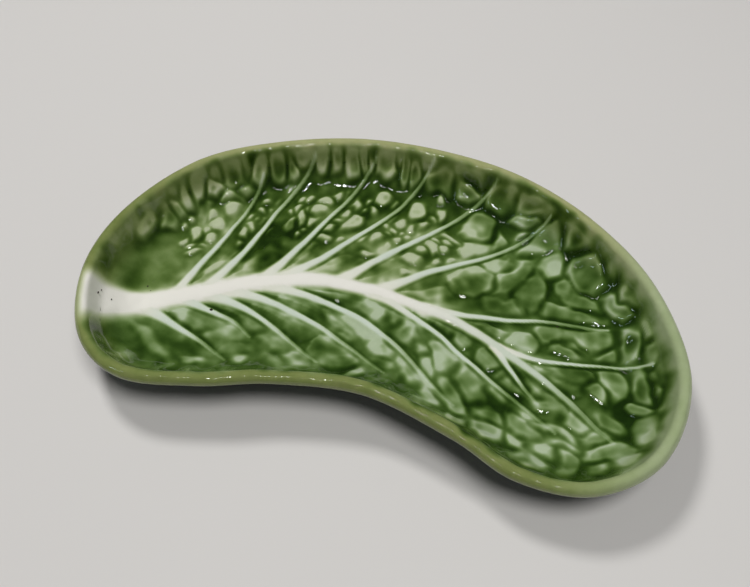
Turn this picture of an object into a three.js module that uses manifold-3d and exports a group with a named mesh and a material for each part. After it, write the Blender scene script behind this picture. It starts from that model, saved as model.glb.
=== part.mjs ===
// Cabbage leaf dish: a shallow crescent dish of glazed earthenware, moulded as a cabbage leaf.
// Millimetres, +Z up. The origin is on the table, under the middle of the dish. The stem end
// points along -X, the tip along +X, and the hollow side of the crescent faces -Y.
import * as THREE from "three";
import { mergeVertices } from "three/addons/utils/BufferGeometryUtils.js";
import Module from "manifold-3d";

const wasm = await Module();
wasm.setup();

// Driving dimensions of the shell
const DISH_LENGTH = 225; // over the rim, stem end to tip
const DISH_WIDTH = 131; // over the rim, hollow side to round side
const DISH_HEIGHT = 25; // table to the top of the rim
const RIM_WIDTH = 5; // the rolled lip, which caps the clay wall and the leaf lining
const RIM_HEIGHT = 5; // from the wall's top to the crown of the lip
const WALL_RUN = 17; // how far the wall reaches inwards on its way down to the floor
const CLAY_FLOOR = 3; // clay under the leaf
const BLADE_THICKNESS = 1.5; // the green leaf lining
const FOOT_HEIGHT = 2.5; // the standing ring under the floor
const FOOT_WIDTH = 4;
const FOOT_INSET = 2; // from the foot of the wall to the standing ring
const SEAT_GAP = 0.3; // between pieces that lie against each other

// Driving dimensions of the leaf's ribs
const MIDRIB_STEM_WIDTH = 9;
const MIDRIB_TIP_WIDTH = 3;
const MIDRIB_FLARE = 13; // extra width where the stem spreads out below the rim
const MIDRIB_FLARE_LENGTH = 16;
const MIDRIB_HEIGHT = 1.8;
const BROAD_VEIN_WIDTH = 4; // where a side vein leaves the midrib
const SIDE_VEIN_WIDTH = 3.3;
const FINE_VEIN_WIDTH = 2.3;
const VEIN_HEIGHT = 1.2;
const VEIN_TIP_WIDTH = 1.4;
const VEIN_TIP_HEIGHT = 0.5;
const RIB_EDGE = 0.3; // thickness along both edges of the midrib and the veins
const RIB_MARGIN = 1; // from the end of a rib to the lip

// How finely curved pieces are faceted
const RIM_STATIONS = 84;
const WALL_STEPS = 6;
const LIP_STEPS = 6;
const RIB_STEP = 5; // along a rib
const RIB_PROBES = 200; // for finding where a rib's ends meet the lip
const MIDRIB_ACROSS = 5; // points across the midrib
const VEIN_ACROSS = 4;

// The leaf is drawn at full size as seen from above, and then set to the dish's length and width.
// Its outline is the middle of the lip, drawn clockwise from the stem end.
const LEAF_OUTLINE = [
  [-109.5, -25],
  [-105, 3.5],
  [-87, 32],
  [-60, 49],
  [-27, 60],
  [7, 62.5],
  [39, 58],
  [69, 44],
  [94.5, 21],
  [110, -12],
  [105.5, -43],
  [86, -60.5],
  [61, -62.5],
  [38, -54],
  [4.5, -46.5],
  [-28, -51],
  [-53.5, -59],
  [-80, -63],
  [-99.5, -51.5],
];

// The midrib follows the crescent from the stem end to the tip.
const MIDRIB = [
  [-107, -38],
  [-92, -29],
  [-73, -19],
  [-50, -6.5],
  [-27, 0.5],
  [0, 1],
  [27, -3],
  [50, -12],
  [72, -23],
  [92, -37],
];

// Side veins leave the midrib and run out on the wall.
const VEINS = [
  { name: "back_vein_1", width: SIDE_VEIN_WIDTH, line: [[-81, -23], [-75, -2], [-69, 18], [-64, 39]] },
  { name: "back_vein_2", width: BROAD_VEIN_WIDTH, line: [[-71, -18], [-61, 6], [-54, 31], [-45, 51]] },
  { name: "back_vein_3", width: BROAD_VEIN_WIDTH, line: [[-51, -7], [-41, 13], [-31, 37], [-21, 57]] },
  { name: "back_vein_4", width: BROAD_VEIN_WIDTH, line: [[-45, -4], [-31, 10], [-13, 34], [3, 60]] },
  { name: "back_vein_5", width: BROAD_VEIN_WIDTH, line: [[-21, 2], [-5, 20], [13, 39], [30, 57]] },
  { name: "back_vein_6", width: BROAD_VEIN_WIDTH, line: [[-5, 1], [11, 15], [33, 29], [54, 47]] },
  { name: "tip_vein_1", width: SIDE_VEIN_WIDTH, line: [[15, -1], [42, 2], [63, 6], [84, 8]] },
  { name: "tip_vein_2", width: FINE_VEIN_WIDTH, line: [[46, -10], [63, -11], [82, -8], [101, -5]] },
  { name: "front_vein_1", width: SIDE_VEIN_WIDTH, line: [[-92, -29], [-78, -33], [-64, -37], [-51, -43]] },
  { name: "front_vein_2", width: SIDE_VEIN_WIDTH, line: [[-79, -22], [-66, -24], [-55, -26], [-46, -31]] },
  { name: "front_vein_3", width: SIDE_VEIN_WIDTH, line: [[-72, -18], [-55, -19], [-38, -25], [-18, -35]] },
  { name: "front_vein_4", width: SIDE_VEIN_WIDTH, line: [[-64, -14], [-44, -14], [-18, -21], [7, -32]] },
  { name: "front_vein_5", width: SIDE_VEIN_WIDTH, line: [[-51, -7], [-27, -8], [2, -16], [35, -38]] },
  { name: "front_vein_6", width: SIDE_VEIN_WIDTH, line: [[-7, 1], [20, -9], [45, -24], [72, -38]] },
  { name: "front_vein_7", width: FINE_VEIN_WIDTH, line: [[44, -10], [52, -18], [58, -24], [64, -29]] },
];

// Levels and the inward start of each wall face, measured from the middle of the lip
const wallTop = DISH_HEIGHT - RIM_HEIGHT;
const clayTop = FOOT_HEIGHT + CLAY_FLOOR;
const bladeUnder = clayTop + SEAT_GAP;
const bladeTop = bladeUnder + BLADE_THICKNESS;
const outerFace = -RIM_WIDTH / 2;
const leafFace = RIM_WIDTH / 2;
const bladeBack = leafFace - BLADE_THICKNESS;
const clayFace = bladeBack - SEAT_GAP;
const footOuter = outerFace + WALL_RUN + FOOT_INSET;

const glaze = (color, roughness) => new THREE.MeshStandardMaterial({ color, roughness, metalness: 0 });
const leafGreen = glaze(0x4d6b30, 0.12);
const undersideGreen = glaze(0x3f5a2c, 0.18);
const stemWhite = glaze(0xdcdccc, 0.14);
const veinMint = glaze(0xa9bf9c, 0.14);
const rimOlive = glaze(0x868c58, 0.12);
const bareClay = glaze(0xd8cbb4, 0.75);

// A smooth curve through plan points.
function planCurve(points, closed) {
  const corners = points.map(([x, y]) => new THREE.Vector3(x, y, 0));
  return new THREE.CatmullRomCurve3(corners, closed, "catmullrom");
}

// Maps a point of the drawing to the dish, so that the lip fills its length and width.
function makeFitToDish() {
  const drawn = new THREE.Box3().setFromPoints(planCurve(LEAF_OUTLINE, true).getPoints(600));
  const size = drawn.getSize(new THREE.Vector3());
  const middle = drawn.getCenter(new THREE.Vector3());
  const alongX = (DISH_LENGTH - RIM_WIDTH) / size.x;
  const alongY = (DISH_WIDTH - RIM_WIDTH) / size.y;
  return ([x, y]) => [(x - middle.x) * alongX, (y - middle.y) * alongY];
}

const fitToDish = makeFitToDish();

// Stations round the middle of the lip, counter-clockwise, each with its inward direction.
function makeRimStations() {
  const points = planCurve(LEAF_OUTLINE.map(fitToDish), true).getSpacedPoints(RIM_STATIONS);
  points.pop();
  points.reverse();
  return points.map((at, i) => {
    const before = points[(i + RIM_STATIONS - 1) % RIM_STATIONS];
    const after = points[(i + 1) % RIM_STATIONS];
    const along = after.clone().sub(before).normalize();
    return { at, inward: new THREE.Vector3(-along.y, along.x, 0) };
  });
}

const rimStations = makeRimStations();

// A closed loop at a distance inwards from the middle of the lip.
function loopAt(inwards, z) {
  return rimStations.map(({ at, inward }) => at.clone().addScaledVector(inward, inwards).setZ(z));
}

// Distance from a plan point to the middle of the lip, negative outside it.
function insetAt(x, y) {
  const point = new THREE.Vector3(x, y, 0);
  const nearest = new THREE.Vector3();
  const side = new THREE.Line3();
  let inset = Infinity;
  rimStations.forEach(({ at, inward }, i) => {
    side.set(at, rimStations[(i + 1) % RIM_STATIONS].at);
    side.closestPointToPoint(point, true, nearest);
    const away = nearest.distanceTo(point);
    if (away < Math.abs(inset)) {
      inset = away * Math.sign(point.clone().sub(nearest).dot(inward));
    }
  });
  return inset;
}

// Every wall face is the same curve: steep under the lip and flat where it meets its floor.
function wallHeight(share, floor) {
  return floor + (wallTop - floor) * (1 - share) ** 2;
}

// The loops of one wall face, from the lip down to its floor.
function wallFace(start, floor) {
  return Array.from({ length: WALL_STEPS + 1 }, (_, i) => {
    const share = i / WALL_STEPS;
    return loopAt(start + WALL_RUN * share, wallHeight(share, floor));
  });
}

// Height of the leaf's upper face at a plan point.
function leafHeight(x, y) {
  const share = (insetAt(x, y) - leafFace) / WALL_RUN;
  return wallHeight(THREE.MathUtils.clamp(share, 0, 1), bladeTop);
}

// A solid skinned over a stack of equal loops. It closes on itself, or is capped flat at both ends.
function skinLoops(loops, closesOnItself) {
  const count = loops[0].length;
  const index = [];
  const last = closesOnItself ? loops.length : loops.length - 1;
  for (let row = 0; row < last; row++) {
    const here = row * count;
    const next = ((row + 1) % loops.length) * count;
    for (let i = 0; i < count; i++) {
      const j = (i + 1) % count;
      index.push(here + i, here + j, next + j, here + i, next + j, next + i);
    }
  }
  if (!closesOnItself) {
    const cap = THREE.ShapeUtils.triangulateShape(loops[0], []);
    const end = (loops.length - 1) * count;
    const rim = THREE.ShapeUtils.triangulateShape(loops.at(-1), []);
    cap.forEach(([a, b, c]) => index.push(c, b, a));
    rim.forEach(([a, b, c]) => index.push(end + a, end + b, end + c));
  }
  return new THREE.BufferGeometry().setFromPoints(loops.flat()).setIndex(index);
}

// The clay shell: its flat underside, outer wall, flat wall top, inner wall and floor.
function makeClayBody() {
  const outside = wallFace(outerFace, FOOT_HEIGHT).reverse();
  return skinLoops([...outside, ...wallFace(clayFace, clayTop)], false);
}

// The green leaf that lines the shell.
function makeLeafBlade() {
  const back = wallFace(bladeBack, bladeUnder).reverse();
  return skinLoops([...back, ...wallFace(leafFace, bladeTop)], false);
}

// The rolled lip on the wall's top: upright sides under a half-round crown.
function makeRim() {
  const rise = RIM_HEIGHT / 2;
  const loops = [loopAt(outerFace, 0)];
  for (let i = 0; i <= LIP_STEPS; i++) {
    const turn = (Math.PI * i) / LIP_STEPS;
    loops.push(loopAt(outerFace * Math.cos(turn), rise + rise * Math.sin(turn)));
  }
  loops.push(loopAt(leafFace, 0));
  return skinLoops(loops, true);
}

// The standing ring, with upright sides.
function makeFootRing() {
  const footInner = footOuter + FOOT_WIDTH;
  const corners = [
    [footOuter, 0],
    [footOuter, FOOT_HEIGHT],
    [footInner, FOOT_HEIGHT],
    [footInner, 0],
  ];
  return skinLoops(corners.map(([inwards, z]) => loopAt(inwards, z)), true);
}

// Stations along a rib's line, each with its half width and the way across it.
// The line is cut short, at either end, where one of the rib's edges would meet the lip.
function ribStations(drawnLine, widthAt) {
  const line = planCurve(drawnLine.map(fitToDish), false);
  const stationAt = (share) => {
    const along = line.getTangentAt(share);
    const across = new THREE.Vector3(-along.y, along.x, 0);
    return { share, at: line.getPointAt(share), across, half: widthAt(share) / 2 };
  };
  const isClear = ({ at, across, half }) =>
    [-half, half].every((side) => {
      const { x, y } = at.clone().addScaledVector(across, side);
      return insetAt(x, y) >= leafFace + RIB_MARGIN;
    });
  const probes = Array.from({ length: RIB_PROBES + 1 }, (_, i) => stationAt(i / RIB_PROBES));
  const clear = probes.filter(isClear);
  const first = clear[0].share;
  const last = clear.at(-1).share;
  const steps = Math.ceil(((last - first) * line.getLength()) / RIB_STEP);
  const shareAt = (i) => THREE.MathUtils.lerp(first, last, i / steps);
  return Array.from({ length: steps + 1 }, (_, i) => stationAt(shareAt(i)));
}

// A rib laid on the leaf: thin at both edges and rounded up to its crown between them.
function layRib(stations, pointsAcross, crownAt) {
  const spread = Array.from({ length: pointsAcross }, (_, i) => (2 * i) / (pointsAcross - 1) - 1);
  const loops = stations.map(({ share, at, across, half }) => {
    const under = spread.map((side) => {
      const point = at.clone().addScaledVector(across, side * half);
      return point.setZ(leafHeight(point.x, point.y) + SEAT_GAP);
    });
    const over = under.map((point, i) => {
      const rise = RIB_EDGE + (crownAt(share) - RIB_EDGE) * (1 - spread[i] ** 2);
      return point.clone().setZ(point.z + rise);
    });
    return [...under, ...over.reverse()];
  });
  return skinRib(loops, pointsAcross);
}

// Skins a rib's sections and closes its two ends, whose lower and upper edges have equal points.
function skinRib(loops, pointsAcross) {
  const count = loops[0].length;
  const index = [];
  for (let row = 0; row + 1 < loops.length; row++) {
    for (let i = 0; i < count; i++) {
      const here = row * count + i;
      const beside = row * count + ((i + 1) % count);
      index.push(here, beside + count, here + count, here, beside, beside + count);
    }
  }
  const end = (loops.length - 1) * count;
  for (let i = 0; i + 1 < pointsAcross; i++) {
    const corners = [i, i + 1, count - 2 - i, count - 1 - i];
    const [a, b, c, d] = corners;
    index.push(c, b, a, d, c, a);
    const [e, f, g, h] = corners.map((corner) => end + corner);
    index.push(e, f, g, e, g, h);
  }
  return new THREE.BufferGeometry().setFromPoints(loops.flat()).setIndex(index);
}

const midribLength = planCurve(MIDRIB.map(fitToDish), false).getLength();

// The midrib's full width at a share of its line, spreading at the stem end.
function midribWidth(share) {
  const spreading = Math.max(0, 1 - (share * midribLength) / MIDRIB_FLARE_LENGTH);
  const taper = THREE.MathUtils.lerp(MIDRIB_STEM_WIDTH, MIDRIB_TIP_WIDTH, share);
  return taper + MIDRIB_FLARE * spreading ** 2;
}

const midribStations = ribStations(MIDRIB, midribWidth);

function makeMidrib() {
  const crownAt = (share) => THREE.MathUtils.lerp(MIDRIB_HEIGHT, VEIN_TIP_HEIGHT, share ** 2);
  return layRib(midribStations, MIDRIB_ACROSS, crownAt);
}

// The room that the midrib takes up, with its seat gap, from the table to the top of the rim.
function makeMidribRoom() {
  const edge = (side) =>
    midribStations.map(({ at, across, half }) =>
      at.clone().addScaledVector(across, side * (half + SEAT_GAP)),
    );
  const outline = new THREE.Shape([...edge(-1), ...edge(1).reverse()]);
  return new THREE.ExtrudeGeometry(outline, { depth: DISH_HEIGHT, bevelEnabled: false });
}

// A closed geometry as a solid for cutting, and back.
function toSolid(geometry) {
  const bare = geometry.clone();
  bare.deleteAttribute("normal");
  bare.deleteAttribute("uv");
  const { attributes, index } = mergeVertices(bare, 1e-4);
  const mesh = { numProp: 3, vertProperties: attributes.position.array };
  return new wasm.Manifold(new wasm.Mesh({ ...mesh, triVerts: new Uint32Array(index.array) }));
}

function toGeometry(solid) {
  const { vertProperties, triVerts } = solid.getMesh();
  return new THREE.BufferGeometry()
    .setAttribute("position", new THREE.BufferAttribute(vertProperties, 3))
    .setIndex(new THREE.BufferAttribute(triVerts, 1));
}

const midribRoom = toSolid(makeMidribRoom());

// A side vein tapers from the midrib's edge, where it is cut to fit, to a fine end.
// A sliver left beyond the midrib is dropped.
function makeVein({ width, line }) {
  const stations = ribStations(line, (share) => THREE.MathUtils.lerp(width, VEIN_TIP_WIDTH, share));
  const crownAt = (share) => THREE.MathUtils.lerp(VEIN_HEIGHT, VEIN_TIP_HEIGHT, share);
  const vein = toSolid(layRib(stations, VEIN_ACROSS, crownAt));
  const parts = vein.subtract(midribRoom).decompose();
  parts.sort((one, other) => other.volume() - one.volume());
  return toGeometry(parts[0]);
}

function piece(name, geometry, material) {
  geometry.computeVertexNormals();
  const mesh = new THREE.Mesh(geometry, material);
  mesh.name = name;
  return mesh;
}

const rim = piece("rim", makeRim(), rimOlive);
rim.position.z = wallTop;

const shell = new THREE.Group();
shell.add(
  piece("clay_body", makeClayBody(), undersideGreen),
  piece("foot_ring", makeFootRing(), bareClay),
  rim,
);

const leaf = new THREE.Group();
leaf.add(
  piece("leaf_blade", makeLeafBlade(), leafGreen),
  piece("midrib", makeMidrib(), stemWhite),
  ...VEINS.map((vein) => piece(vein.name, makeVein(vein), veinMint)),
);

const dish = new THREE.Group();
dish.add(shell, leaf);

export default dish;
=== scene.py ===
"""Finishes the cabbage leaf dish: moulded relief, glazes, and a plain stage to show it on."""

from collections import namedtuple
from dataclasses import dataclass
from functools import lru_cache

import bmesh
import bpy
import numpy as np
from bpy.props import FloatProperty, FloatVectorProperty, PointerProperty
from bpy.types import Operator, Panel, PropertyGroup
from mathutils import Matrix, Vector


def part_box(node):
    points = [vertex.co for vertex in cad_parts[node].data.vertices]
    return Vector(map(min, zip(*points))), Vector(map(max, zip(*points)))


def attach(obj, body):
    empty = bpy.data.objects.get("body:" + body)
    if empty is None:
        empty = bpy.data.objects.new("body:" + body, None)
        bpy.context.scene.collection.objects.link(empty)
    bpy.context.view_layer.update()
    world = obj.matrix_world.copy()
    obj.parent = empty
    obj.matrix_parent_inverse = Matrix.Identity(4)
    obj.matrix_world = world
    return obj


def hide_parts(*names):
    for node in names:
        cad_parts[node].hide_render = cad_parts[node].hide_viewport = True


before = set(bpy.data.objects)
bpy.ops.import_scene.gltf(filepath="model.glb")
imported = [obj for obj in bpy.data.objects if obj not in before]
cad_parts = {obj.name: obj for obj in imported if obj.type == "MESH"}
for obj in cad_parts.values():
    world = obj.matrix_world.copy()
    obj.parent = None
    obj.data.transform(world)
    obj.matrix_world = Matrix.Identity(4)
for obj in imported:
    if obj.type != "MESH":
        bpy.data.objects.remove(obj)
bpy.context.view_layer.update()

bl_info = {
    "name": "Cabbage Leaf Dish",
    "version": (1, 0, 0),
    "blender": (4, 5, 0),
    "location": "View3D > Sidebar > Leaf Dish",
    "description": "Moulds and glazes a crescent dish in the form of a cabbage leaf",
    "category": "Object",
}

MM = 0.001

# Spacing of points along a rib, along the lip, and along the shell and its foot.
RIB_STEP = 0.8 * MM
LIP_STEP = 0.8 * MM
SHELL_STEP = 1.6 * MM
# Edges that turn by more than this, in radians, stay sharp on the shell and its foot.
SHARP_ANGLE = 0.9

# How far the midrib's line starts outside the lip, how far a rib runs before its flare is gone, and how
# far beside its edge it still shapes the leaf.
STEM_OVERRUN = 12 * MM
FLARE_REACH = 9 * MM
RIB_REACH = 12 * MM
# How widely ribs run into each other and into the leaf, and how much closer blisters come to a rib's end.
RIB_MERGE = 0.5 * MM
LEAF_MERGE = 0.7 * MM
RIB_END_ROOM = 2.5 * MM
# Where a vein starts, as a share of the midrib's half width.
VEIN_START = 0.7

# Where the pieces end under the lip, as insets from the middle of the lip.
BLADE_EDGE = 3.1 * MM
MIDRIB_EDGE = 3.4 * MM
VEIN_EDGE = 3.6 * MM
# The insets of the points on the lip's inner shoulder, between which insets the leaf comes out from under
# the rim, and between which the rim dives under the leaf.
RIM_INSETS = np.arange(5.2, 0.1, -0.3) * MM
LEAF_OUT = (3.9 * MM, 4.5 * MM)
RIM_UNDER = (4.4 * MM, 4.6 * MM)
# How widely the lip and the wall run into each other.
LIP_BLEND = 1.4 * MM
# The lip's roll from its top to under its outside, and between which turns the relief fades in, in degrees.
LIP_ROLL = np.linspace(90, 225, 14)
LIP_RELIEF = (140, 95)
# Where the lip's section closes inside the wall, as insets and heights over the rim's lowest point.
LIP_UNDERSIDE = np.array([(-0.9, 0.3), (2.2, -2.5)]) * MM
# Points across a side of the wall and round an edge of the foot.
WALL_POINTS = 24
EDGE_POINTS = 6
# How far the leaf's grid reaches beyond the rim.
GRID_MARGIN = 4 * MM

# How far the leaf, the edges of a rib and the inner edge of the rim dip under what covers them.
LEAF_DIP = 0.3 * MM
RIB_DIP = 0.14 * MM
RIM_DIP = 0.03 * MM
# How far the midrib, the veins and the pinholes stand out of the relief.
MIDRIB_LIFT = 0.03 * MM
VEIN_LIFT = 0.015 * MM
PINHOLE_LIFT = 0.03 * MM
# How far the leaf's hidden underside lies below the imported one, and a rib's below its top.
LEAF_ROOT = 1.0 * MM
RIB_ROOT = 0.8 * MM

# How square a blister is: at 2 it is an ellipse. How far beyond its edge it is worked out, and the depth
# inside a blister of a place that has none near.
BLISTER_SQUARENESS = 2.4
BLISTER_REACH = 5 * MM
NO_BLISTER = -9 * MM
# Seed of the chance by which the glaze differs from one blister to the next.
SHADE_SEED = 5

# The leaf is drawn in millimetres as seen from above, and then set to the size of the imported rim.
# The outline is the middle of the lip, counter-clockwise.
LEAF_OUTLINE = [
    (-99.5, -51.5), (-80, -63), (-53.5, -59), (-28, -51), (4.5, -46.5), (38, -54), (61, -62.5),
    (86, -60.5), (105.5, -43), (110, -12), (94.5, 21), (69, 44), (39, 58), (7, 62.5), (-27, 60),
    (-60, 49), (-87, 32), (-105, 3.5), (-109.5, -25),
]

# The midrib starts outside the lip, so that its cream glaze runs over the rim at the stem end.
MIDRIB = [
    (-119, -46), (-107, -38), (-92, -29), (-73, -19), (-50, -6.5), (-27, 0.5), (0, 1), (27, -3),
    (50, -12), (72, -23), (92, -37),
]

# Each side vein: its width where it leaves the midrib, and its line from there outwards.
SIDE_VEINS = {
    "back_vein_1": (3.3, [(-81, -23), (-75, -2), (-69, 18), (-64, 39)]),
    "back_vein_2": (4.0, [(-71, -18), (-61, 6), (-54, 31), (-45, 51)]),
    "back_vein_3": (4.0, [(-51, -7), (-41, 13), (-31, 37), (-21, 57)]),
    "back_vein_4": (4.0, [(-45, -4), (-31, 10), (-13, 34), (3, 60)]),
    "back_vein_5": (4.0, [(-21, 2), (-5, 20), (13, 39), (30, 57)]),
    "back_vein_6": (4.0, [(-5, 1), (11, 15), (33, 29), (54, 47)]),
    "tip_vein_1": (3.3, [(15, -1), (42, 2), (63, 6), (84, 8)]),
    "tip_vein_2": (2.3, [(46, -10), (63, -11), (82, -8), (101, -5)]),
    "front_vein_1": (4.4, [(-92, -29), (-78, -33), (-64, -37), (-51, -43)]),
    "front_vein_2": (3.8, [(-79, -22), (-66, -24), (-55, -26), (-46, -31)]),
    "front_vein_3": (4.4, [(-72, -18), (-55, -19), (-38, -25), (-18, -35)]),
    "front_vein_4": (4.4, [(-64, -14), (-44, -14), (-18, -21), (7, -32)]),
    "front_vein_5": (4.2, [(-51, -7), (-27, -8), (2, -16), (35, -38)]),
    "front_vein_6": (3.3, [(-7, 1), (20, -9), (45, -24), (72, -38)]),
    "front_vein_7": (2.3, [(44, -10), (52, -18), (58, -24), (64, -29)]),
}

# Blisters of the back wall: distance along the rim from the stem end, inset from the rim, length along
# the rim, width, turn of the length towards the floor in degrees, and extra depth of its glaze.
WALL_BLISTERS = [
    (29.5, 6.4, 9, 3, -12, -0.08), (36.5, 7, 7, 5.5, 0, 0.05), (43, 7, 4.5, 4.5, 0, 0.02),
    (49.8, 5.6, 6.5, 4.2, 0, -0.04), (47, 3.4, 5, 2.2, 0, 0), (58.5, 5, 10, 4.4, -27, -0.2),
    (64.6, 7.6, 7.6, 4.2, 10, -0.18), (67.5, 3.9, 5, 2.6, 0, 0), (74.2, 5.7, 8, 5.6, 0, 0),
    (78.6, 4, 4.4, 2.6, 80, -0.04), (70.8, 10.8, 5.8, 4.8, 0, -0.1), (77, 9.8, 5.5, 3, 0, 0.03),
    (52.5, 11.7, 7, 1.8, -10, -0.1), (84.5, 5.6, 7.5, 3.4, -30, 0.02), (93.5, 6, 7.2, 5.6, 0, 0.05),
    (98.6, 6.7, 4.4, 5.2, 0, 0), (103.8, 3.8, 6, 2.8, 0, -0.06), (113.3, 5, 5, 4.4, 0, -0.04),
    (118, 5.2, 4.6, 5, 0, 0), (125.2, 7.5, 5.8, 7, 0, -0.05), (129.8, 6.4, 4, 6, 0, 0.04),
    (134, 6, 3.4, 3.2, 0, -0.06), (139.2, 5.8, 8, 6, 0, -0.02), (144.3, 5, 1.6, 2, 0, -0.08),
    (148, 6.2, 3.8, 6.8, 0, -0.02), (152.8, 6.2, 4.4, 6.6, 0, 0.04), (164.8, 7.9, 11, 6, 0, 0.04),
    (161, 3.6, 12, 2.4, 0, 0.02), (176.5, 8.1, 10.4, 5, 12, -0.17), (176, 3.9, 10.5, 2.8, 0, -0.02),
    (192.5, 6.8, 12, 8, 0, 0.02), (206.5, 4.7, 12.5, 4.4, 0, -0.03), (206, 9, 12, 4, 0, 0.06),
    (228.3, 5.4, 14, 5.6, 0, 0.02), (242.3, 9.8, 16.5, 9.4, 0, 0.02), (247.3, 4.6, 10, 3.5, 20, -0.08),
    (263.2, 5.4, 15, 3.8, 0, 0), (262.3, 10.2, 15.5, 4, 0, -0.08), (275.8, 5.2, 12, 4, 10, 0),
    (280.3, 11.9, 12.5, 7.2, 0, 0), (286, 6, 8.5, 6, 0, 0.03), (298, 4, 11, 3, 0, -0.06),
    (296.5, 7, 4.5, 2.2, 0, 0), (303, 8, 7, 2.6, 0, -0.02), (301, 11.6, 15.5, 5, 0, 0),
    (310, 5, 10, 4, 0, 0), (312.8, 12.2, 3.8, 8, 0, -0.12),
]
# Blisters of the other regions: place on the leaf, length, width and the turn of the length in degrees.
BACK_BLISTERS = [
    (-85, 8.5, 8, 5.5, 110), (-77, 14.5, 6.5, 5.5, 120), (-77.5, 6.5, 5, 4, 100), (-82, -1, 6, 3, 45),
    (-73, 23.5, 9, 4.5, 100), (-74, 8, 3.5, 2.5, 60), (-84, 17.5, 6, 3.5, 60), (-66, 13, 6, 3.5, 75),
    (-63.8, 16, 5, 3.5, 120), (-59.5, 21, 5.5, 4.5, 90), (-63, 26, 4, 3.5, 0), (-59, 27.5, 3, 2.5, 0),
    (-65, 4, 12, 4, 55), (-49.5, 22, 10, 6, 65), (-43.5, 28, 7.5, 6.5, 60), (-48, 31.5, 6, 3.5, 60),
    (-43.7, 37, 4, 3.5, 0), (-48, 36.5, 3, 3, 0), (-37.5, 37.5, 4.5, 4.5, 0), (-38, 33, 5, 3.5, 20),
    (-38.5, 29.5, 5, 4, 60), (-32.5, 21.5, 7, 5.5, 50), (-31, 27.5, 5, 4, 60), (-23.5, 31, 10.5, 8, 60),
    (-28, 35.5, 6, 3.5, 70), (-25, 39.5, 7, 5, 130), (-26.5, 22, 4, 3.5, 60), (-16.5, 38, 7, 4.5, 110),
    (-15, 44, 8, 6.5, 70), (-12.5, 25.5, 6.5, 3.5, 45), (-4, 27, 6, 4, 20), (-7, 24.5, 3.5, 2.5, 20),
    (-9, 29, 3.5, 2.5, 0), (-4.5, 35.5, 6.5, 4.5, 30), (-6.5, 32.5, 5.5, 4.5, 110), (1.5, 33, 5, 4, 90),
    (5.5, 36.5, 6.5, 3.5, 65), (1.5, 42.5, 10.5, 8, 100), (11, 43.5, 6, 4.5, 110), (9, 48.5, 5, 4, 100),
    (3.5, 20, 9.5, 4.5, -20), (3, 12, 5.5, 4, 0), (12, 26.5, 8.5, 6, 110), (12.5, 31.5, 6, 3, -15),
    (17.5, 27, 4.5, 4, 0), (11, 17, 4.5, 3, 30), (19, 35, 8, 2.5, -30), (-13, 17.5, 9, 4, 10),
    (-88, 4, 4, 3, 60), (-80.5, 10.5, 4, 3.5, 80), (-80, 19, 5, 3, 60), (-88, 13, 4, 3, 60),
    (-79.5, 2.5, 3, 2.5, 0), (-84.5, 2.5, 4, 3, 40), (-90.5, 10, 3.5, 2.5, 60), (-62, 20.5, 3, 2.5, 0),
    (-67.5, 8.5, 4, 2.5, 60), (-61.5, 11, 4, 3, 60), (-57, 16, 4, 3, 70), (-66, 20.5, 3.5, 2.5, 80),
    (-62.5, 30.5, 4, 3, 40), (-57, 32, 4, 3, 60), (-46.5, 25, 3, 2.5, 60), (-41, 32.5, 3, 2.5, 0),
    (-40.5, 24.5, 4, 3, 60), (-43, 20, 5, 3, 60), (-51.5, 28, 4, 3, 70), (-53, 37.5, 5, 3, 60),
    (-29.5, 31.5, 3.5, 3, 0), (-34, 41, 5, 3.5, 40), (-29.5, 42, 4, 3.5, 0), (-20, 37, 3.5, 3, 60),
    (-20.5, 42, 4, 3, 90), (-19, 24.5, 5, 4, 50), (-25, 17.5, 4, 3, 40), (-10, 33.5, 3, 2.5, 60),
    (-9.5, 38, 4, 3, 60), (-10, 43.5, 5, 4, 80), (-2.5, 31, 3, 2.5, 0), (-2, 23, 4, 3, 20),
    (0, 28.5, 3.5, 3, 0), (6, 29.5, 4, 3, 80), (7, 23.5, 4, 3, 20), (8, 40, 3.5, 3, 0),
    (13.5, 21, 5, 3.5, 60), (20, 21.5, 5, 4, 30), (18, 31.5, 4, 2.5, -30), (-5, 18.5, 4, 2.5, 10),
]
TIP_BLISTERS = [
    (30, 15.5, 16, 11.5, 15), (45.5, 23, 18.5, 7.5, 65), (53.5, 18, 14, 7.5, 100), (44.5, 8, 10, 6, 0),
    (65, 23.5, 5, 4.5, 0), (60, 31, 10, 7.5, 30), (53, 39.5, 15.5, 9, 15), (27.5, 32, 11, 7.5, 75),
    (28, 42, 10.5, 8.5, 90), (35.5, 36, 8.5, 4, 115), (38, 27, 8, 4, 20), (74, 18.5, 13.5, 7, -25),
    (70.5, 11.5, 18, 6, 5), (76.5, 2.5, 14, 8.5, 15),
    (62, 1, 9, 6.5, 20), (73.5, -2, 7, 3, -35), (51, -6.5, 8, 5.5, 10), (42, -4.5, 9, 4, -20),
    (72, -5.5, 9, 3.5, 0), (86, -3.5, 7, 3, 10), (72.5, -13, 12, 6.5, -10), (69.5, -17.5, 9, 4, -25),
    (88, -13, 12.5, 9, -50), (81.5, -18, 9, 5, -10),
    (90.5, -29, 7, 4, -50), (84.5, -36.5, 9, 5.5, 10), (80, -32.5, 8, 4.5, -20), (90, -42, 11, 6, 10),
]
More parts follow.
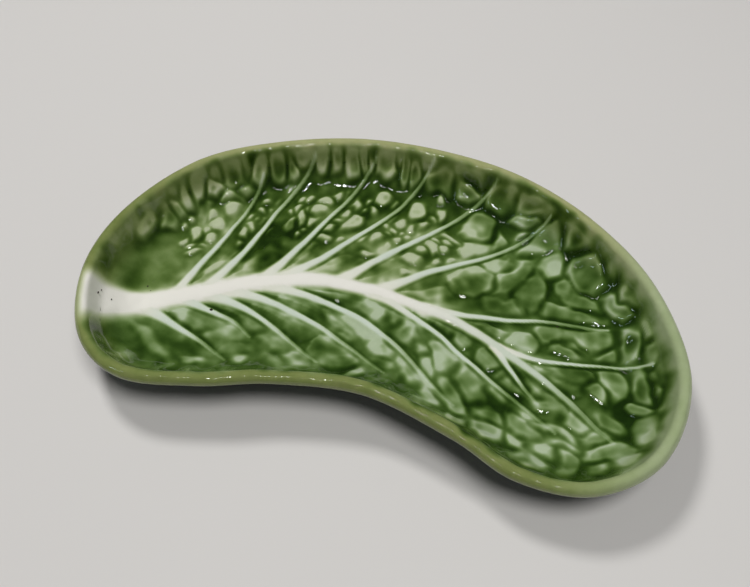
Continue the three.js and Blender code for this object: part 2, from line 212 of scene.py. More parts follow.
FRONT_BLISTERS = [
    (33, -10, 7.5, 5, -55), (25, -7, 8, 3.5, -20), (45, -17, 8, 6.5, 70), (49, -21, 7.5, 3, 20),
    (55.5, -17.5, 7, 3, -50), (61, -23, 10, 3.5, -25), (54.5, -26, 8, 5, 10), (59, -29.5, 5, 3, 10),
    (67, -28.5, 10, 5.5, -30), (64, -32.5, 10, 3, 0), (75, -37.5, 13, 3.5, -5), (28, -17, 15, 8.5, -50),
    (22.5, -25.5, 9, 5, -60), (39, -26, 14, 7, -55), (36, -34.5, 14, 7.5, -45), (48, -37.5, 9, 5.5, -20),
    (60, -39, 13.5, 8.5, -40), (60.5, -46, 9, 5.5, -40), (68, -47, 7.5, 4.5, -5), (77.5, -42, 7, 3.5, 0),
    (-13.5, -26, 10, 5.5, -30), (-8.5, -31, 12, 9.5, -20),
    (-17, -30, 4.5, 3.5, 90), (-3, -35.5, 6, 3, 20), (-6, -6.5, 15, 5.5, -15), (3, -8, 6, 4, -20),
    (-23, -4.5, 15, 4.5, 5), (-17, -15, 9, 3, -45), (-9, -16.5, 13, 5.5, -25), (3.5, -24, 10, 6, -55),
    (5, -28, 7, 3.5, -20), (9, -13, 13, 6.5, -30), (17, -18, 8, 4.5, -40), (14, -30, 13, 7, -45),
    (24.5, -36.5, 8, 4, -35), (17, -36, 7, 2.5, -30),
    (97, -47, 7, 4, 45), (90, -49, 7, 3, 15), (77, -48.5, 10, 7, 80), (64.5, -52, 9, 5, -10),
    (48.5, -44, 11, 6, -35), (38.5, -43, 6, 4.5, 20), (101.5, -30, 10, 5, 80),
]
STEM_FOLDS = [
    (-80, -42.5, 20, 3.5, -32), (-70, -29, 21, 8, -5), (-57, -33.5, 15, 8, 20), (-53.5, 5, 18, 7, 55),
    (-49, 12.5, 8, 6, 60), (-36.5, 14.5, 13, 4.5, 65), (-24, 9.5, 16, 6, 25), (-13, 13.5, 11, 4.5, 15),
    (14, 6, 16, 5, 8), (-68, -4, 8, 4, 40), (-27, -22.5, 14, 8, 10), (-37, -17.5, 13, 4, -5),
    (-24, -35, 10, 7, -10), (-37, -30.5, 13, 6.5, -12), (-50, -37.5, 10, 3.5, 15), (-46, -42, 5, 3.5, 30),
    (-44, -25.5, 16, 6, -20), (-61, -46.5, 8, 3, 15), (-33, -38.5, 7, 3, 5),
]
# How each group looks: share of the full height, how far its blisters spread towards their neighbours,
# how far their edges round off, how far their middles sink in, the depth of the glaze on top, and how
# much neighbours run together.
BlisterLook = namedtuple("BlisterLook", "height spread rounding dish glaze join")
BLISTER_GROUPS = (
    (WALL_BLISTERS, BlisterLook(0.95, 1.2, 1.4, 0.4, 0.54, 0.6)),
    (BACK_BLISTERS, BlisterLook(1.0, 0.6, 2.0, 0.2, 0.27, 0.12)),
    (TIP_BLISTERS, BlisterLook(0.75, 2.4, 1.8, 0.2, 0.45, 1.0)),
    (FRONT_BLISTERS, BlisterLook(0.65, 2.0, 2.2, 0.2, 0.35, 1.0)),
    (STEM_FOLDS, BlisterLook(0.5, 1.2, 2.6, 0.1, 0.49, 1.0)),
)

# Pinholes in the glaze: place on the leaf and width.
PINHOLES = [
    (-103.5, -34.0, 1.1), (-103.4, -32.1, 0.8), (-99.8, -33.1, 0.8), (-91.9, -20.6, 0.7),
    (-90.0, -22.2, 0.5), (-64.0, -23.8, 1.3), (65.6, 5.0, 0.9),
]
PINHOLE_FLATNESS = 0.15

# The leaf's glaze: its refraction, and the strength and height of its finest ripple.
GLAZE_IOR = 1.5
GLAZE_BUMP = (0.2, 0.3 * MM)

# How a plain surface clouds: the share of its colour that it darkens to, the scale of the clouds, its
# least and greatest roughness, and the strength and height of its ripple.
Clouding = namedtuple("Clouding", "shade scale smoothest roughest ripple ripple_height")
UNDERSIDE_GLAZE = Clouding(0.45, 70.0, 0.1, 0.2, 0.2, 0.4 * MM)
BARE_CLAY = Clouding(0.75, 260.0, 0.65, 0.85, 0.35, 0.2 * MM)
PINHOLE_PIT = Clouding(0.5, 900.0, 0.3, 0.5, 0.1, 0.1 * MM)
PALE_FLOOR = Clouding(0.97, 9.0, 0.5, 0.6, 0.02, 0.1 * MM)

# The stage: lamps with their place and width, the tall window, the sky, the floor and the camera.
Lamp = namedtuple("Lamp", "place width")
KEY_LAMP = Lamp((-0.5, 0.4, 1.1), 0.25)
FILL_LAMP = Lamp((0.25, -0.2, 1.25), 0.45)
GLINT_LAMPS = [Lamp((x, -0.38, 0.75), 0.036) for x in np.linspace(-0.2, 0.13, 4)]
WINDOW = Lamp((-0.75, -0.65, 0.7), 0.02)
WINDOW_HEIGHT = 0.4
WINDOW_COLOUR = (0.7, 0.88, 1.0)
SKY_COLOUR = (0.95, 0.97, 1.0)
FLOOR_REACH = 3.0
SENSOR_WIDTH = 36
CLIP_START = 0.01

rim_low, rim_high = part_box("rim")
blade_low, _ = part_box("leaf_blade")
_, foot_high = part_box("foot_ring")


def number_property(name, default, description, unit="NONE"):
    return FloatProperty(name=name, description=description, default=default, unit=unit)


def length_property(name, default, description):
    return FloatProperty(name=name, description=description, default=default, unit="LENGTH", precision=5)


def place_property(name, default, description):
    return FloatVectorProperty(name=name, description=description, default=default, subtype="TRANSLATION")


def colour_property(name, default, description):
    return FloatVectorProperty(
        name=name, description=description, default=default, subtype="COLOR", min=0, max=1
    )


class LeafDishSizes(PropertyGroup):
    """Sizes of the shell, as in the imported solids"""

    rim_width: length_property("Rim width", 5 * MM, "Thickness of the rolled lip")
    wall_run: length_property("Wall run", 17 * MM, "How far the wall reaches inwards to the floor")
    blade_thickness: length_property("Blade thickness", 1.5 * MM, "Thickness of the leaf lining")
    clay_wall: length_property("Clay wall", 3.2 * MM, "Thickness of the clay under the lip")
    clay_floor: length_property("Clay floor", 3 * MM, "Thickness of the clay under the leaf")
    lip_shade: length_property("Lip shade", 0.8 * MM, "How far the wall stands back under the lip")
    foot_inset: length_property("Foot inset", 2 * MM, "From the foot of the wall to the standing ring")
    foot_width: length_property("Foot width", 4 * MM, "Width of the standing ring")
    foot_edge: length_property("Foot edge", 0.7 * MM, "Rounding of the standing ring")


class LeafDishRelief(PropertyGroup):
    """Shape of the moulded leaf"""

    step: length_property("Grid step", 0.48 * MM, "Spacing of the leaf's mesh")
    midrib_stem: length_property("Stem width", 11.6 * MM, "Width of the midrib at the stem end")
    midrib_tip: length_property("Midrib tip", 1.4 * MM, "Width of the midrib at its tip")
    midrib_flare: length_property("Stem flare", 14 * MM, "Extra width where the stem meets the rim")
    midrib_crown: length_property("Midrib crown", 1.5 * MM, "Height of the midrib over the leaf")
    vein_crown: length_property("Vein crown", 0.9 * MM, "Height of a side vein where it starts")
    vein_tip: length_property("Vein tip", 1.2 * MM, "Width of a side vein where it ends")
    puff: length_property("Puff", 1.0 * MM, "How far the leaf swells between its veins")
    lean: length_property("Lean", 0.5 * MM, "How far the leaf dips on the tip side of a vein")
    blister_height: length_property("Blister height", 1.8 * MM, "Height of a blister over its valley")
    groove: length_property("Groove", 0.12 * MM, "How far the foot of a blister stays back from its edge")
    pebble: length_property("Pebble", 0.3 * MM, "Fine unevenness of the clay, most on the wall")
    wobble: length_property("Wobble", 0.09 * MM, "Unevenness of the whole surface")
    ripple: length_property("Ripple", 0.075 * MM, "Fine unevenness of the glaze, which breaks up its shine")
    glaze_softness: length_property("Glaze softness", 0.5 * MM, "How far the glaze rounds the clay")
    glaze_fill: number_property("Glaze fill", 0.8, "Share of the clay's relief that shows in the glaze")
    glaze_depth: number_property("Glaze depth", 0.7, "Depth of the glaze in the valleys at the back")
    front_glaze: number_property("Front glaze", 0.47, "Depth of the glaze in the valleys at the front")
    smooth_glaze: number_property("Smooth glaze", 0.55, "Depth of the glaze where the leaf has no blisters")
    variety: number_property("Variety", 0.1, "How much the glaze differs from one blister to the next")
    # Painted shade: how much darker the relief's slopes that face the front and the tip are made, as if the
    # light came from the back and the stem end.
    run: number_property("Run", 0.24, "How much thicker the glaze is on the tip side of a blister")
    lip_glaze: number_property("Lip glaze", 0.28, "Depth of the glaze on the lip")


class LeafDishColours(PropertyGroup):
    """Colours of the glazes and the clay"""

    slip: colour_property("Slip", (0.82, 0.8, 0.73), "White slip under the glaze")
    cool_slip: colour_property("Cool slip", (0.72, 0.77, 0.74), "White slip under the side veins' glaze")
    warm_slip: colour_property("Warm slip", (0.8, 0.69, 0.54), "Buff slip under the lip's glaze")
    tint: colour_property("Tint", (0.0185, 0.048, 0.0035), "What pooled green glaze leaves of the slip")
    underside: colour_property("Underside", (0.03, 0.07, 0.02), "Glaze under the dish")
    clay: colour_property("Clay", (0.62, 0.53, 0.4), "Bare fired earthenware of the standing ring")
    pinhole: colour_property("Pinhole", (0.03, 0.02, 0.012), "Burst bubbles in the glaze")
    floor: colour_property("Floor", (0.7, 0.68, 0.655), "The stage's floor")


class LeafDishStage(PropertyGroup):
    """Camera and lamps"""

    camera_place: place_property("Camera place", (0.04176, -0.16704, 0.28686), "Where the camera stands")
    camera_aim: place_property("Camera aim", (-0.00528, -0.00081, 0.0104), "The middle of the picture")
    focal_length: number_property("Focal length", 40.6, "Lens of the camera, in millimetres")
    daylight: number_property("Daylight", 0.06, "Strength of the even light")
    key_power: number_property("Key power", 7.3, "The lamp behind the dish", "POWER")
    fill_power: number_property("Fill power", 8.4, "The lamp over the dish", "POWER")
    window_power: number_property("Window power", 0.6, "The window that shows in the glaze", "POWER")
    glint_power: number_property("Glint power", 0.32, "A lamp that shows in the glaze", "POWER")


class LeafDishSettings(PropertyGroup):
    """Everything about the dish that a user would change"""

    sizes: PointerProperty(type=LeafDishSizes)
    relief: PointerProperty(type=LeafDishRelief)
    colours: PointerProperty(type=LeafDishColours)
    stage: PointerProperty(type=LeafDishStage)


# Plain arithmetic on arrays


def smooth_step(low, high, value):
    share = np.clip((value - low) / (high - low), 0, 1)
    return share * share * (3 - 2 * share)


def mix(start, end, share):
    return start + (end - start) * share


def smooth_max(one, other, softness):
    """The higher of two heights, rounded where they cross."""
    share = np.clip(0.5 + 0.5 * (one - other) / softness, 0, 1)
    return mix(other, one, share) + softness * share * (1 - share)


def soften(field, size):
    """Blurs a grid by a Gaussian of that many cells."""
    along_x = np.fft.fftfreq(field.shape[0])[:, None]
    along_y = np.fft.rfftfreq(field.shape[1])[None, :]
    damping = np.exp(-2 * (np.pi * size) ** 2 * (along_x**2 + along_y**2))
    return np.fft.irfft2(np.fft.rfft2(field) * damping, field.shape)


def soft_noise(shape, size, seed):
    """Smooth random bumps of about that many cells, about 1 high."""
    field = soften(np.random.default_rng(seed).standard_normal(shape), size)
    return field / field.std()


# Lines on the plan


def spline(points, closed=False, per_span=40):
    """A smooth line through points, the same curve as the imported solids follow."""
    points = np.asarray(points, float)
    if closed:
        ring = np.concatenate([points[-1:], points, points[:2]])
    else:
        ring = np.concatenate([[2 * points[0] - points[1]], points, [2 * points[-1] - points[-2]]])
    share = np.linspace(0, 1, per_span, endpoint=False)[:, None]
    spans = []
    for a, b, c, d in zip(ring, ring[1:], ring[2:], ring[3:]):
        curve = -a + 3 * b - 3 * c + d
        bend = 2 * a - 5 * b + 4 * c - d
        spans.append(b + 0.5 * share * ((c - a) + share * (bend + share * curve)))
    return np.concatenate([*spans, ring[-2:-1]])


def even_points(line, spacing):
    """The same line with points at even spacing."""
    lengths = np.concatenate([[0], np.cumsum(np.hypot(*np.diff(line, axis=0).T))])
    count = max(2, round(lengths[-1] / spacing) + 1)
    places = np.linspace(0, lengths[-1], count)
    return np.stack([np.interp(places, lengths, line[:, k]) for k in (0, 1)], 1)


def nearest_points(line, points, chunk=20000):
    reach = (line**2).sum(1)
    parts = [points[i : i + chunk] for i in range(0, len(points), chunk)]
    return np.concatenate([(reach - 2 * part @ line.T).argmin(1) for part in parts])


def follow(line, points, closed=False):
    """Distance from plan points to a line, the place along it in points, and the side, left above 0."""
    count = len(line) - 1
    nearest = nearest_points(line, points)
    found = []
    for step in (-1, 0):
        index = (nearest + step) % count if closed else np.clip(nearest + step, 0, count - 1)
        start = line[index]
        span = line[index + 1] - start
        share = np.clip(((points - start) * span).sum(1) / (span**2).sum(1), 0, 1)
        apart = points - start - share[:, None] * span
        side = span[:, 0] * apart[:, 1] - span[:, 1] * apart[:, 0]
        found.append((np.hypot(*apart.T), index + share, np.sign(side)))
    first = found[0][0] <= found[1][0]
    return [np.where(first, one, other) for one, other in zip(*found)]


def across(line, closed=False):
    """The direction to the left of a line at each of its points."""
    if closed:
        loop = np.concatenate([line[-2:-1], line, line[1:2]])
        along = loop[2:] - loop[:-2]
    else:
        along = np.gradient(line, axis=0)
    along /= np.hypot(*along.T)[:, None]
    return np.stack([-along[:, 1], along[:, 0]], 1)


def set_to_dish(points, sizes):
    """Moves drawn points, in millimetres, to the dish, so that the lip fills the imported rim."""
    drawn = spline(LEAF_OUTLINE, closed=True)
    low, high = drawn.min(0), drawn.max(0)
    room = np.array((rim_high - rim_low)[:2]) - sizes.rim_width
    return (np.asarray(points, float) - (low + high) / 2) * room / (high - low)


def rim_line(sizes, spacing=LIP_STEP):
    return even_points(spline(set_to_dish(LEAF_OUTLINE, sizes), closed=True), spacing)


# Profile of the inside


def wall_height(inset, start, floor, sizes):
    """Every wall face is steep under the lip and flat where it meets its floor."""
    share = np.minimum((inset - start) / sizes.wall_run, 1)
    return floor + (rim_low.z - floor) * (1 - share) ** 2


def lip_height(inset, sizes, steepest=2.6):
    """The lip is round on top, and its inner shoulder falls away at no more than the steepest slope."""
    radius = sizes.rim_width / 2
    turn = steepest / np.hypot(1, steepest)
    shoulder = turn * radius
    top = np.sqrt(radius**2 - np.clip(inset, -shoulder, shoulder) ** 2)
    fall = np.maximum(np.abs(inset) - shoulder, 0) * steepest
    return rim_high.z - radius + top - fall


def inside_height(inset, sizes):
    """Height of the inside without its relief."""
    leaf_floor = blade_low.z + sizes.blade_thickness
    wall = wall_height(inset, sizes.rim_width / 2, leaf_floor, sizes)
    return smooth_max(wall, lip_height(inset, sizes), LIP_BLEND)


# Relief of the leaf


@dataclass
class Rib:
    """A midrib or vein: a line on the plan and, for each of its points, its size and glaze. A higher power
    makes its top flatter."""

    name: str
    line: np.ndarray
    half_width: np.ndarray
    crown: np.ndarray
    bare: np.ndarray
    glaze: np.ndarray
    cool: np.ndarray
    power: float


@dataclass
class RibFields:
    """What the ribs together do to the leaf: their height, the room beside them, the side that faces them,
    how bare of green they are, the glaze on them, and where their own meshes cover the leaf."""

    ridge: np.ndarray
    clear: np.ndarray
    side: np.ndarray
    bare: np.ndarray
    glaze: np.ndarray
    cool: np.ndarray
    cover: np.ndarray


@dataclass
class Plan:
    """Where each point of a grid over the dish lies on the leaf. The inset is measured from the middle of
    the lip, and behind, wall and tip run from 0 to 1 towards the back, the wall and the tip."""

    points: np.ndarray
    shape: tuple
    step: float
    inset: np.ndarray
    from_midrib: np.ndarray
    behind: np.ndarray
    wall: np.ndarray
    tip: np.ndarray
    lip_reach: np.ndarray

    def grid(self, values):
        return values.reshape(self.shape)

    def blur(self, field, size):
        return soften(field, size / self.step)

    def noise(self, size, seed):
        """Smooth random bumps of about that size, about 1 high."""
        return soft_noise(self.shape, size / self.step, seed).ravel()

    def warp(self, size, amount, seed):
        """How far a soft random bend of that size moves each point."""
        return amount * np.stack([self.noise(size, seed), self.noise(size, seed + 1)], 1)


@dataclass
class Leaf:
    """The leaf's height and glaze on a grid over the plan."""

    low: np.ndarray
    step: float
    x: np.ndarray
    y: np.ndarray
    inset: np.ndarray
    height: np.ndarray
    cover: np.ndarray
    glaze: dict
    ribs: list

    def sample(self, field, points):
        place = (points - self.low) / self.step
        cell = np.clip(np.floor(place).astype(int), 0, np.array(field.shape) - 2)
        (i, j), (u, v) = cell.T, (place - cell).T
        near = mix(field[i, j], field[i, j + 1], v)
        far = mix(field[i + 1, j], field[i + 1, j + 1], v)
        return mix(near, far, u)

    def normals(self, points):
        slopes = [self.sample(slope, points) for slope in np.gradient(self.height, self.step)]
        up = np.stack([-slopes[0], -slopes[1], np.ones(len(points))], 1)
        return up / np.linalg.norm(up, axis=1)[:, None]


def make_midrib(sizes, relief):
    line = even_points(spline(set_to_dish(MIDRIB, sizes)), RIB_STEP)
    share = np.linspace(0, 1, len(line))
    from_rim = np.maximum(np.arange(len(line)) * RIB_STEP - STEM_OVERRUN, 0)
    taper = mix(relief.midrib_tip, relief.midrib_stem, 1 - share)
    width = taper + relief.midrib_flare * np.exp(-((from_rim / FLARE_REACH) ** 1.5))
    rises = smooth_step(4 * MM, 20 * MM, from_rim)
    crown = relief.midrib_crown * mix(0.35, 1, rises) * mix(1, 0.5, smooth_step(0.45, 1, share))
    bare = 1 - 0.45 * smooth_step(0.85, 1, share)
    green = smooth_step(0.55, 0.9, share)
    return Rib("midrib", line, width / 2, crown, bare, glaze=0.08 * green, cool=green, power=3.0)


def make_vein(name, width, points, sizes, relief):
    line = even_points(spline(set_to_dish(points, sizes)), RIB_STEP)
    x, y = line.T
    share = np.linspace(0, 1, len(line))
    flare = 1 + 0.9 * np.exp(-np.arange(len(line)) * RIB_STEP / FLARE_REACH)
    half_width = flare * mix(width * MM, relief.vein_tip, share**0.65) / 2
    crown = relief.vein_crown * mix(1, 0.28, share)
    fade = mix(0.6, 0.36, smooth_step(0, 20 * MM, y))
    fade = mix(fade, 0.15, smooth_step(60 * MM, 95 * MM, x))
    bare = 1 - fade * smooth_step(0.5, 1, share)
    glaze = mix(0.02, 0.05, smooth_step(0, 0.4, share))
    cool = smooth_step(0.02, 0.35, share)
    return Rib(name, line, half_width, crown, bare, glaze, cool, power=2.0)


def lay_ribs(ribs, points):
    """Lays the ribs on the plan. They run together where they meet."""
    count = len(points)
    no_ridge, far_away = np.full(count, -10 * MM), np.full(count, 1.0)
    laid = RibFields(no_ridge, far_away, *(np.zeros(count) for _ in range(5)))
    for rib in ribs:
        reach = RIB_REACH + rib.half_width.max()
        low, high = rib.line.min(0) - reach, rib.line.max(0) + reach
        here = np.flatnonzero(((points > low) & (points < high)).all(1))
        away, place, side = follow(rib.line, points[here])
        at = np.arange(len(rib.line))
        values = (rib.half_width, rib.crown, rib.bare, rib.glaze, rib.cool)
        half, crown, bare, glaze, cool = (np.interp(place, at, value) for value in values)
        ratio = away / half
        # Distances along a rib are counted in points of its line.
        to_end = at[-1] - place
        ridge = crown * np.maximum(1 - ratio**rib.power, -8)
        bare = bare * (1 - smooth_step(0.6, 1.35, ratio))
        stronger = bare > laid.bare[here]
        laid.glaze[here] = np.where(stronger, glaze, laid.glaze[here])
        laid.cool[here] = np.where(stronger, cool, laid.cool[here])
        laid.bare[here] = 1 - (1 - bare) * (1 - laid.bare[here])
        laid.ridge[here] = smooth_max(ridge, laid.ridge[here], RIB_MERGE)
        clear = away - half + RIB_END_ROOM * (1 - smooth_step(0, 14, to_end))
        laid.side[here] = np.where(clear < laid.clear[here], side, laid.side[here])
        laid.clear[here] = np.minimum(clear, laid.clear[here])
        cover = smooth_step(0, 3, place) * smooth_step(0, 3, to_end) * (1 - smooth_step(0.8, 1.1, ratio))
        laid.cover[here] = np.maximum(cover, laid.cover[here])
    return laid


def make_plan(points, shape, step, sizes, midrib):
    x = points[:, 0]
    away, _, side = follow(rim_line(sizes), points, closed=True)
    inset = away * side
    away, place, side = follow(midrib.line, points)
    from_midrib = away - np.interp(place, np.arange(len(midrib.line)), midrib.half_width)
    behind = smooth_step(-5 * MM, 5 * MM, away * side)
    wall = 1 - smooth_step(9 * MM, 17 * MM, inset)
    tip = smooth_step(0, 55 * MM, x)
    lip_reach = mix(1.8, 4.2, smooth_step(50 * MM, 105 * MM, x)) * MM
    return Plan(points, shape, step, inset, from_midrib, behind, wall, tip, lip_reach)


def inside_blister(apart, length, width, turn):
    """How far places lie inside the edge of a blister, below 0 outside."""
    cos, sin = np.cos(np.radians(turn)), np.sin(np.radians(turn))
    along = np.abs(apart[:, 0] * cos + apart[:, 1] * sin) * 2 / length
    beside = np.abs(apart[:, 1] * cos - apart[:, 0] * sin) * 2 / width
    power = BLISTER_SQUARENESS
    return (1 - (along**power + beside**power) ** (1 / power)) * width / 2


def drawn_blisters(sizes, relief):
    """Every blister: its group, its centre on the plan, its length, width and turn, and its extra glaze."""
    rim = rim_line(sizes)[::-1]
    inwards = -across(rim, closed=True)
    start = nearest_points(rim, set_to_dish(LEAF_OUTLINE[-1:], sizes))[0]
    for distance, inset, length, width, turn, shade in WALL_BLISTERS:
        at = start + round(distance * MM / np.hypot(*(rim[1] - rim[0])))
        centre = rim[at] + inset * MM * inwards[at]
        rim_turn = np.degrees(np.arctan2(inwards[at, 0], -inwards[at, 1]))
        yield 0, centre, length * MM, width * MM, rim_turn - turn, shade
    rng = np.random.default_rng(SHADE_SEED)
    for group, (blisters, _) in enumerate(BLISTER_GROUPS[1:], 1):
        for x, y, length, width, turn in blisters:
            shade = rng.normal(0, relief.variety)
            yield group, set_to_dish((x, y), sizes), length * MM, width * MM, turn, shade


def raise_blisters(plan, sizes, relief):
    """The drawn blisters, from 0 in a valley to 1 on a crest, with the full height and glaze of each."""
    count = len(plan.points)
    points = plan.points + plan.warp(4 * MM, 1.1 * MM, seed=11) * mix(1, 0.6, plan.wall)[:, None]
    points += plan.warp(1.5 * MM, 0.3 * MM, seed=21)
    # How far each point lies inside the blister it is deepest in, and inside the next one.
    first, second = np.full(count, NO_BLISTER), np.full(count, NO_BLISTER)
    group, extra = np.zeros(count, int), np.zeros(count)
    for number, centre, length, width, turn, shade in drawn_blisters(sizes, relief):
        reach = max(length, width) / 2 + BLISTER_REACH
        here = np.flatnonzero((np.abs(points - centre) < reach).all(1))
        inside = inside_blister(points[here] - centre, length, width, turn)
        before = first[here]
        second[here] = np.maximum(second[here], np.minimum(inside, before))
        group[here] = np.where(inside > before, number, group[here])
        extra[here] = np.where(inside > before, shade, extra[here])
        first[here] = np.maximum(before, inside)
    height, spread, rounding, dish, glaze, join = np.array([look for _, look in BLISTER_GROUPS])[group].T
    groove = relief.groove * (0.6 + plan.noise(5 * MM, seed=14))
    edge = np.minimum(first + spread * MM, 0.6 * (first - second)) - groove
    joined = smooth_step(-0.3, 1.0, plan.noise(3 * MM, seed=16))
    joined = joined * smooth_step(0, 1 * MM, first + spread * MM) * join
    dished = dish * smooth_step(1.2 * MM, 3 * MM, edge)
    rise = mix(smooth_step(-0.2 * MM, rounding * MM, edge) - dished, 0.75, 0.75 * joined)
    return rise, height, glaze + extra


def tip_side(plan, laid):
    """1 on the side of the nearest rib that faces the leaf's tip, and 0 on its stem side."""
    return np.where(laid.side > 0, 1 - plan.behind, plan.behind)


def leaf_relief(plan, laid, sizes, relief):
    """Height of the leaf over its plain shell without its ribs, its blisters, and the glaze on them."""
    rise, height, top = raise_blisters(plan, sizes, relief)
    pads = rise * smooth_step(0.2 * MM, 2 * MM, laid.clear)
    raised = plan.grid(height * pads)
    carved = relief.blister_height * (raised - plan.blur(raised, 9 * MM)).ravel()
    clear = np.maximum(laid.clear, 0)
    puff = relief.puff * (1 - np.exp(-clear / (4 * MM))) * (1 - 0.7 * plan.wall)
    shelter = np.exp(-clear / (2.5 * MM)) * (1 - plan.wall)
    lean = relief.lean * shelter * mix(0.3, -1.0, tip_side(plan, laid))
    fine = relief.pebble * mix(0.4, 1.3, plan.wall) * plan.noise(2.2 * MM, seed=19)
    leaves_lip = smooth_step(plan.lip_reach, plan.lip_reach + 2 * MM, plan.inset)
    return (carved + puff + lean + fine) * leaves_lip, plan.grid(pads), plan.grid(top)


def glazed_height(leaf, plan, laid, sizes, relief):
    """Height of the inside, with the ribs on the leaf and the glaze over both."""
    ridge = laid.ridge * smooth_step(1 * MM, 9 * MM, plan.inset)
    clay = plan.grid(smooth_max(leaf, ridge, LEAF_MERGE))
    surface = plan.blur(clay, relief.glaze_softness) * relief.glaze_fill
    surface += plan.grid(plan.noise(6 * MM, seed=15)) * relief.wobble
    surface += plan.grid(plan.noise(1.2 * MM, seed=23)) * relief.ripple
    plain = plan.grid(inside_height(plan.inset, sizes))
    slope = np.abs(np.gradient(plain, plan.step)).max(0)
    return plain + surface * (1 + 0.3 * np.minimum(slope, 1.5))


def valley_glaze(plan, laid, relief):
    """Depth of the glaze between the blisters, least in front and on the stem side of the ribs."""
    x = plan.points[:, 0]
    front = 1 - plan.behind
    open_leaf = smooth_step(2 * MM, 12 * MM, plan.from_midrib) * smooth_step(-92 * MM, -62 * MM, x)
    open_leaf = np.maximum(open_leaf, plan.wall * smooth_step(-104 * MM, -88 * MM, x))
    by_stem = 1 - smooth_step(-58 * MM, -36 * MM, x)
    valley = mix(relief.front_glaze, relief.glaze_depth, np.maximum(plan.behind, 0.5 * plan.tip))
    valley = valley + 0.04 * plan.tip * plan.behind + 0.09 * plan.wall + 0.18 * by_stem * front
    valley = mix(relief.smooth_glaze + 0.18 * front, valley, open_leaf)
    thin = mix(0.2, -0.08, tip_side(plan, laid)) * (1 - smooth_step(0, 5 * MM, laid.clear))
    notches = smooth_step(-0.6, 0.9, plan.noise(2 * MM, seed=25))
    valley = valley - 0.3 * notches * (1 - smooth_step(3 * MM, 5.5 * MM, plan.inset))
    pools = 0.09 * plan.noise(6 * MM, seed=20)
    return plan.grid(valley - thin + pools * mix(0.4, 1, open_leaf))


def glaze_depth(leaf, pads, top, valley, plan, relief):
    """The glaze is thin on crests and pools in valleys; slopes that face the front and the tip get painted
    shade, as if lit from the back and the stem end.
    """
    pooled = 0.26 * (plan.blur(leaf, 0.6 * MM) - leaf) + 0.3 * (plan.blur(leaf, 2.4 * MM) - leaf)
    uneven = 0.12 * plan.noise(3.2 * MM, seed=17)
    uneven += 0.08 * plan.noise(1.2 * MM, seed=18)
    uneven *= mix(0.4, 1, smooth_step(-95 * MM, -70 * MM, plan.points[:, 0]))
    slope_x, slope_y = np.gradient(plan.blur(leaf, 0.5 * MM), plan.step)
    # Painted shade: slopes that face the front and the tip are darkened, as if lit from the back and the
    # stem end.
    painted_shade = relief.run * (0.65 * slope_y - 0.75 * slope_x)
    crest = np.clip(plan.blur(pads, 0.55 * MM) / 0.9, 0, 1) ** 1.4
    depth = mix(valley, top, crest) + plan.grid(uneven) + painted_shade + pooled / MM
    return plan.blur(depth, 0.3 * MM).ravel()


def lay_glaze(leaf, pads, top, plan, laid, relief):
    """The depth of the glaze and how cool or warm the slip under it is, also on the lip and the ribs."""
    x, y = plan.points.T
    valley = valley_glaze(plan, laid, relief)
    depth = glaze_depth(plan.grid(leaf), pads, top, valley, plan, relief)
    edge = plan.noise(1.6 * MM, seed=13) * 0.5 * MM
    on_lip = 1 - smooth_step(plan.lip_reach - 1.5 * MM, plan.lip_reach + 2.2 * MM, plan.inset + edge)
    least = mix(0.14, 0.32, 1 - smooth_step(4 * MM, 8 * MM, plan.inset))
    by_tip = smooth_step(60 * MM, 105 * MM, x)
    lip = relief.lip_glaze * mix(1.3, 0.74, smooth_step(0, 50 * MM, y)) * mix(1, 0.54, by_tip)
    depth = mix(np.clip(depth, least, 1.1), lip, on_lip)
    bare = laid.bare * mix(0.3, 1, smooth_step(-2.2 * MM, 1.5 * MM, plan.inset))
    depth = mix(depth, laid.glaze, bare)
    cool = mix(mix(mix(0.8, 0.1, plan.behind), 0.8, plan.tip), laid.cool, bare)
    warm = np.maximum(on_lip, 0.6 * (1 - smooth_step(4 * MM, 10 * MM, plan.inset)))
    warm = warm * (1 - bare) * mix(1, 0.3, by_tip)
    # The glaze_depth field holds the glaze's depth with the painted shade of those slopes added in.
    fields = {"glaze_depth": depth, "cool_glaze": cool, "warm_glaze": warm}
    return {name: plan.grid(values) for name, values in fields.items()}


def plan_grid(step):
    """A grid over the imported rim, with a margin."""
    low = np.array(rim_low[:2]) - GRID_MARGIN
    high = np.array(rim_high[:2]) + GRID_MARGIN
    across_x, across_y = (np.arange(low[k], high[k], step) for k in (0, 1))
    return low, *np.meshgrid(across_x, across_y, indexing="ij")


@lru_cache(maxsize=1)
def shape_leaf(sizes, relief):
    """Works out the relief and glaze of the whole inside, from which the pieces are cut."""
    step = relief.step
    low, x, y = plan_grid(step)
    points = np.stack([x.ravel(), y.ravel()], 1)
    midrib = make_midrib(sizes, relief)
    ribs = [midrib, *(make_vein(name, *vein, sizes, relief) for name, vein in SIDE_VEINS.items())]
    plan = make_plan(points, x.shape, step, sizes, midrib)
    laid = lay_ribs(ribs, points + plan.warp(4 * MM, 0.16 * MM, seed=31))
    leaf, pads, top = leaf_relief(plan, laid, sizes, relief)
    height = glazed_height(leaf, plan, laid, sizes, relief)
    glaze = lay_glaze(leaf, pads, top, plan, laid, relief)
    return Leaf(low, step, x, y, plan.grid(plan.inset), height, plan.grid(laid.cover), glaze, ribs)


def values_of(group):
    """A group of settings as a plain record, which can be compared with another."""
    names = tuple(group.__annotations__)
    return namedtuple("Values", names)(*(getattr(group, name) for name in names))


def make_leaf(settings):
    """The leaf for these settings. It is only worked out again when they change."""
    return shape_leaf(values_of(settings.sizes), values_of(settings.relief))


# Node trees


